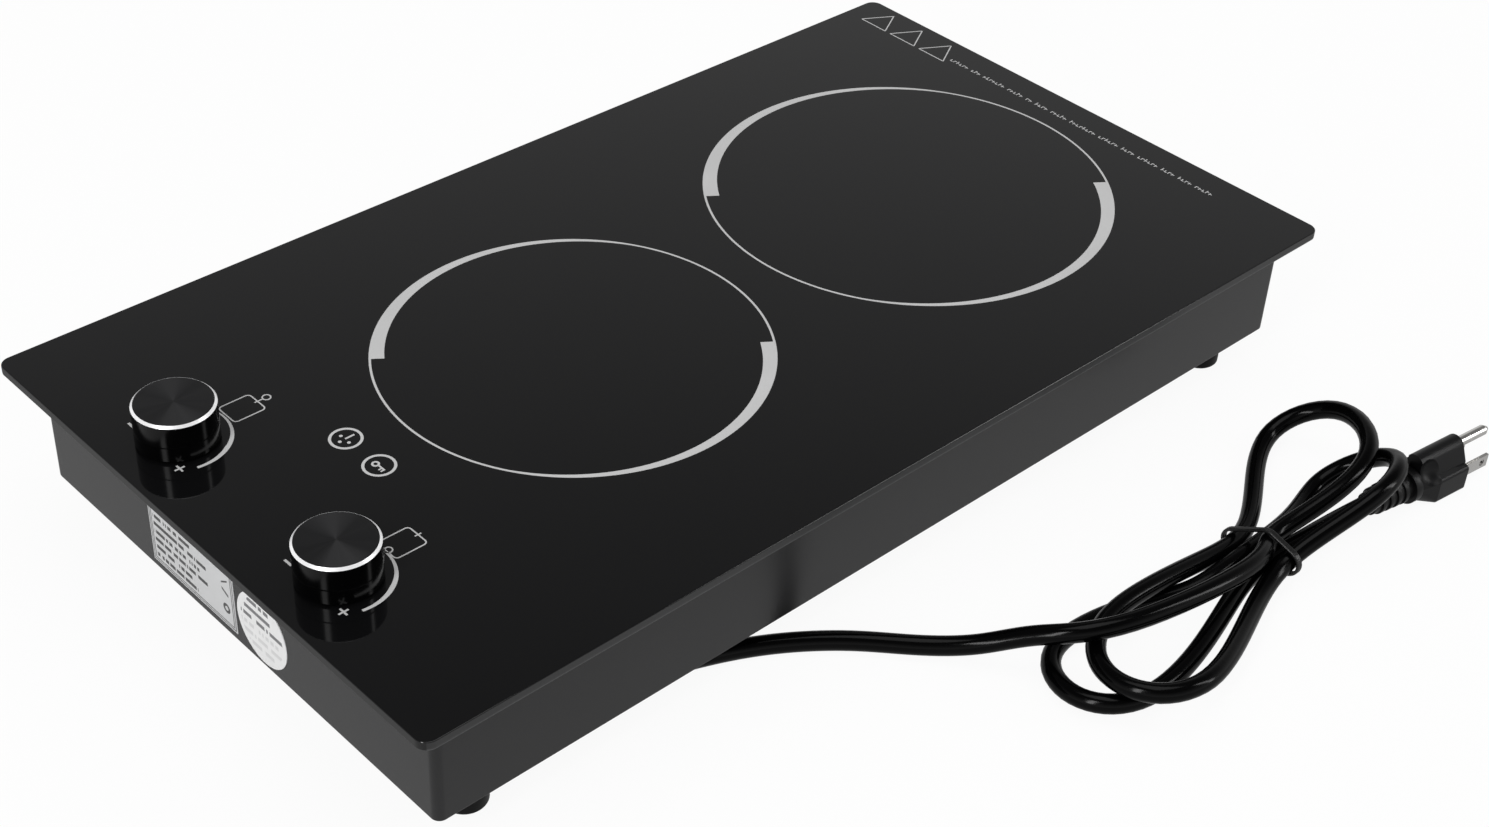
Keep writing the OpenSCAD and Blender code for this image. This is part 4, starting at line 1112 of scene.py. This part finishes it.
@dataclass
class Housing:
    """The painted pan with its feet, screws and labels."""

    bend: float = 0.8 * MM
    bend_steps: int = 6
    edge_zone: float = 3.9 * MM
    foot_rounding: float = 0.6 * MM
    plated: tuple[str, ...] = ("foot_screws", "foot_nuts", "case_screws", "floor_screws",
                               "board_screws")

    def build(self) -> None:
        """Builds the painted shell and dresses the rest of the housing."""
        self._shell()
        dress(FOOT_RUBBER, "feet")
        soften("feet", self.foot_rounding)
        dress(ZINC, *self.plated)
        self._labels()

    def _shell(self) -> None:
        """Builds the pan with the bend that runs round its lower edge."""
        foot, top = low("housing_pan"), high("housing_pan")

        def is_on_rim(place: Vector) -> bool:
            """Whether a place lies on the outer outline of the floor."""
            reach = min(place.x - foot.x, top.x - place.x, place.y - foot.y, top.y - place.y)
            return abs(place.z - foot.z) < SAME_HEIGHT and reach < self.edge_zone

        shape = rounded_copy("housing_pan", self.bend, self.bend_steps, is_on_rim)
        piece("painted_shell", shape, POWDER_COAT, replaces=("housing_pan",))

    def _labels(self) -> None:
        """Dresses the two labels on the front wall."""
        plate = half_size("rating_plate")
        dress(LabelFinish(
            "rating_foil", tuple(middle("rating_plate")), plate.x, plate.z,
            ground=(0.68, 0.685, 0.69), ink=(0.01, 0.01, 0.01), row_pitch=4.0 * MM,
            metallic=0.15, frame_gaps=(0.6 * MM, 1.7 * MM), text_share=0.72,
            mark=RingMark(across=plate.x * 0.79, up=plate.z * -0.5, reach=2.2 * MM)),
            "rating_plate")
        sticker = half_size("inspection_sticker")
        dress(LabelFinish(
            "round_label", tuple(middle("inspection_sticker")), sticker.x, sticker.z,
            ground=(0.85, 0.85, 0.85), ink=(0.12, 0.12, 0.13), row_pitch=4.3 * MM,
            margin=2.5 * MM, letter=1.1 * MM, lower_ink=0.25, is_round=True),
            "inspection_sticker")


@dataclass
class ControlBay:
    """The parts between the front wall and the heat shield, by their finish."""

    parts: Dressing = (
        (STEEL, ("control_bracket", "heat_shield")),
        (BOARD_GREEN, ("control_board",)),
        (SPRING_BRASS, ("touch_springs", "board_standoffs", "power_standoffs")),
        (BOARD_TAN, ("power_board",)),
        (RELAY_BLUE, ("power_relays",)),
        (COIL_IRON, ("power_transformer",)),
        (FUSE_CERAMIC, ("board_fuse",)),
        (TERMINAL_CERAMIC, ("mains_terminal",)),
        (WIRE_RED, ("heater_wires",)),
        (WIRE_BLUE, ("mains_leads",)),
    )

    def build(self) -> None:
        """Dresses the parts."""
        for finish, nodes in self.parts:
            dress(finish, *nodes)


@dataclass
class Heater:
    """One radiant heater under the glass."""

    place: Place
    parts: Dressing = (
        (STEEL, ("heater_dish", "heater_bars")),
        (INSULATION, ("heater_base", "heater_ring")),
        (RIBBON_ALLOY, ("heater_ribbon",)),
        (LIMITER_CERAMIC, ("limiter",)),
    )

    def build(self) -> None:
        """Dresses the heater's parts."""
        for finish, names in self.parts:
            dress(finish, *(f"{self.place.value}_{name}" for name in names))


# ---------------- cord


@dataclass
class MainsCord:
    """The mains cord, folded into a hank, with its strain relief, tie and plug.

    The route is the same as the solid's, in millimetres.
    """

    diameter: float = 8.4
    curve_steps: int = 8
    round_steps: int = 6
    moulded_rounding: float = 0.45 * MM
    tie_rounding: float = 0.5 * MM
    moulded_angle: float = 25.0
    route: tuple[Point, ...] = (
        (107, -150, 7.2), (113, -116, 4.6), (127, -80, 4.5), (149, -50, 4.5), (168, -34, 4.5),
        (188, -15, 6.5), (204, -2, 18), (232, 13, 26.5), (241, 105, 20), (226, 118, 14),
        (230, 140, 17.5), (238, 189, 31), (196, 219, 25), (171, 192, 6.5), (196, 156, 4.5),
        (216, 126, 5), (215, 94, 9.5), (214, 58, 15), (214, 26, 15), (229, 4, 14.5),
        (254, 2, 16), (273, 27, 18), (247, 86, 7.5), (236, 121, 10.5), (254, 159, 32.5),
        (246, 193, 33.5), (223, 200, 17), (210, 180, 4.5), (221, 154, 4.5), (225, 104, 11.5),
        (223, 78, 4.5), (209, 55, 4.5), (201, 4, 4.5), (230, -11, 4.5), (255, 6, 7.5),
        (250, 49, 8.5), (234, 94, 8.5), (231, 116, 6.5), (235, 155, 9), (238, 180, 9),
    )

    def build(self) -> None:
        flex = self._curve()
        dress(TIE_PLASTIC, "cord_tie")
        soften("cord_tie", self.tie_rounding, self.moulded_angle)
        dress(PLUG_RUBBER, "plug_body", "cord_boot")
        for node in ("plug_body", "cord_boot"):
            soften(node, self.moulded_rounding, self.moulded_angle)
        dress(COLLAR_PLASTIC, "boot_collar")
        dress(NICKEL, "plug_blades", "plug_ground_pin")
        self._length()

    def _points(self) -> list[Vector]:
        """The route with one point more at each end, so that the curve meets both ends."""
        inner = [Vector(point) * MM for point in self.route]
        return [2.0 * inner[0] - inner[1], *inner, 2.0 * inner[-1] - inner[-2]]

    def _length(self) -> float:
        """The length of the smooth line along the route, a uniform cubic spline."""
        points = self._points()
        line = [points[1]]
        for a, b, c, d in zip(points, points[1:], points[2:], points[3:]):
            for step in range(1, self.curve_steps + 1):
                s = step / self.curve_steps
                line.append(((1 - s) ** 3 * a + (3 * s ** 3 - 6 * s * s + 4) * b
                             + (-3 * s ** 3 + 3 * s * s + 3 * s + 1) * c + s ** 3 * d) / 6.0)
        return sum((second - first).length for first, second in zip(line, line[1:]))

    def _curve(self) -> bpy.types.Object:
        """The cord as a curve of its own diameter."""
        curve = bpy.data.curves.new("mains_flex", "CURVE")
        curve.dimensions = "3D"
        curve.bevel_depth = self.diameter * MM / 2.0
        curve.bevel_resolution = self.round_steps
        curve.resolution_u = self.curve_steps
        curve.use_fill_caps = True
        spline = curve.splines.new("NURBS")
        points = self._points()
        spline.points.add(len(points) - 1)
        for knot, point in zip(spline.points, points):
            knot.co = (*point, 1.0)
        spline.order_u = 4
        spline.use_endpoint_u = False
        spline.use_smooth = True
        made = place_in_scene("mains_flex", curve)
        curve.materials.append(material_of(CORD_JACKET))
        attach(made, FIXED_BODY)
        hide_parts("mains_cord")
        LOG.info("built mains_flex")
        return made


# ---------------- studio


@dataclass(frozen=True)
class Lamp:
    """A soft rectangular lamp that faces the object: its place, size and power in watts."""

    name: str
    place: Point
    size: Pair
    power: float

    def build(self) -> None:
        """Hangs the lamp."""
        light = bpy.data.lights.new(self.name, "AREA")
        light.energy = self.power
        light.shape = "RECTANGLE"
        light.size, light.size_y = self.size
        lamp = place_in_scene(self.name, light)
        lamp.location = self.place
        lamp.rotation_euler = (-Vector(self.place)).to_track_quat("-Z", "Y").to_euler()


@dataclass
class Studio:
    """Camera, pale floor, soft lamps and world."""

    lens: float = 57.08
    film: float = 36.0
    nearest: float = 0.01
    eye: Point = (0.61645, -0.58038, 0.64902)
    across: Point = (0.68133629, 0.73076092, 0.04206353)
    down: Point = (0.46453749, -0.38727812, -0.79637967)
    ahead: Point = (-0.56567286, 0.56214245, -0.60333248)
    lamps: tuple[Lamp, ...] = (Lamp("key_lamp", (0.62, -1.95, 1.4), (0.4, 1.6), 26.0),
                               Lamp("fill_lamp", (1.6, 1.55, 1.3), (0.3, 1.6), 12.0),
                               Lamp("top_lamp", (0.0, 0.2, 2.6), (1.6, 1.6), 14.0))
    floor_half: float = 6.0
    floor_paper: Colour = (0.8, 0.8, 0.8)
    floor_glow: float = 0.93
    floor_mirror: float = 0.48
    sky_light: float = 0.55
    sky_mirror: tuple[Pair, ...] = (
        (0.15, 0.8), (0.3, 0.62), (0.45, 0.42), (0.57, 0.26), (0.63, 0.18), (0.7, 0.115),
        (1.0, 0.09))

    def build_camera(self) -> None:
        """Sets the camera at its place."""
        lens = bpy.data.cameras.new("camera")
        lens.lens = self.lens
        lens.sensor_width = self.film
        lens.sensor_fit = "HORIZONTAL"
        lens.clip_start = self.nearest
        camera = place_in_scene("camera", lens)
        axes = Matrix((self.across, [-value for value in self.down],
                       [-value for value in self.ahead])).transposed()
        camera.matrix_world = Matrix.Translation(self.eye) @ axes.to_4x4()
        bpy.context.scene.camera = camera

    def build(self) -> None:
        """Builds the floor, the lamps and the world."""
        self._floor()
        for lamp in self.lamps:
            lamp.build()
        self._world()
        bpy.context.scene.view_settings.view_transform = "Standard"

    @staticmethod
    def _rays(shader: Shader) -> tuple[Signal, Signal]:
        """Whether a ray is seen straight or through something, and whether it is mirrored."""
        rays = shader.node("ShaderNodeLightPath")
        seen, mirrored, through = (
            Signal(shader, rays.outputs[f"Is {kind} Ray"])
            for kind in ("Camera", "Glossy", "Transmission"))
        return (seen + through).maths("MINIMUM", 1.0), mirrored

    @staticmethod
    def _either(shader: Shader, share: Signal, first: Node, second: Node) -> Node:
        """Mixes two shader nodes: the first where share is 0 and the second where it is 1."""
        return shader.node("ShaderNodeMixShader", None,
                           {0: share, 1: first.outputs[0], 2: second.outputs[0]})

    def _floor(self) -> None:
        """Lays a white floor that keeps the shadow."""
        shape = bmesh.new()
        bmesh.ops.create_grid(shape, x_segments=1, y_segments=1, size=self.floor_half)
        mesh = bpy.data.meshes.new("floor")
        shape.to_mesh(mesh)
        shape.free()
        floor = place_in_scene("floor", mesh)
        material = bpy.data.materials.new("floor_paper")
        shader = Shader(material)
        seen, mirrored = self._rays(shader)
        paper = shader.node("ShaderNodeBsdfDiffuse", None, {"Color": self.floor_paper})
        glow, dim = (
            shader.node("ShaderNodeEmission", None, {"Color": WHITE, "Strength": strength})
            for strength in (1.0, self.floor_mirror))
        lit = self._either(shader, seen * self.floor_glow, paper, glow)
        mixed = self._either(shader, mirrored, lit, dim)
        shader.node("ShaderNodeOutputMaterial", None, {"Surface": mixed.outputs[0]})
        mesh.materials.append(material)

    def _world(self) -> None:
        """Makes a world that is white behind the object and dims upwards in reflections."""
        world = bpy.data.worlds.new("studio_world")
        bpy.context.scene.world = world
        shader = Shader(world)
        seen, mirrored = self._rays(shader)
        direction = shader.node("ShaderNodeTexCoord").outputs["Generated"]
        _, _, climb = shader.split(direction)
        above = shader.node("ShaderNodeValToRGB", {"stops": self.sky_mirror}, {0: climb})
        plain, white, mirror = (
            shader.node("ShaderNodeBackground", None, {"Color": colour, "Strength": strength})
            for colour, strength in ((WHITE, self.sky_light), (WHITE, 1.0),
                                     (above.outputs[0], 1.0)))
        reflected = self._either(shader, mirrored, plain, mirror)
        mixed = self._either(shader, seen, reflected, white)
        shader.node("ShaderNodeOutputWorld", None, {"Surface": mixed.outputs[0]})


# ---------------- the whole object


def main() -> None:
    """Builds the camera, the cord, the object's pieces and the studio."""
    logging.basicConfig(level=logging.INFO, format="%(name)s: %(message)s")
    studio = Studio()
    studio.build_camera()
    MainsCord().build()
    GlassTop().build()
    for side in Side:
        Knob(side).build()
    Housing().build()
    ControlBay().build()
    for place in Place:
        Heater(place).build()
    studio.build()


if __name__ == "__main__":
    main()
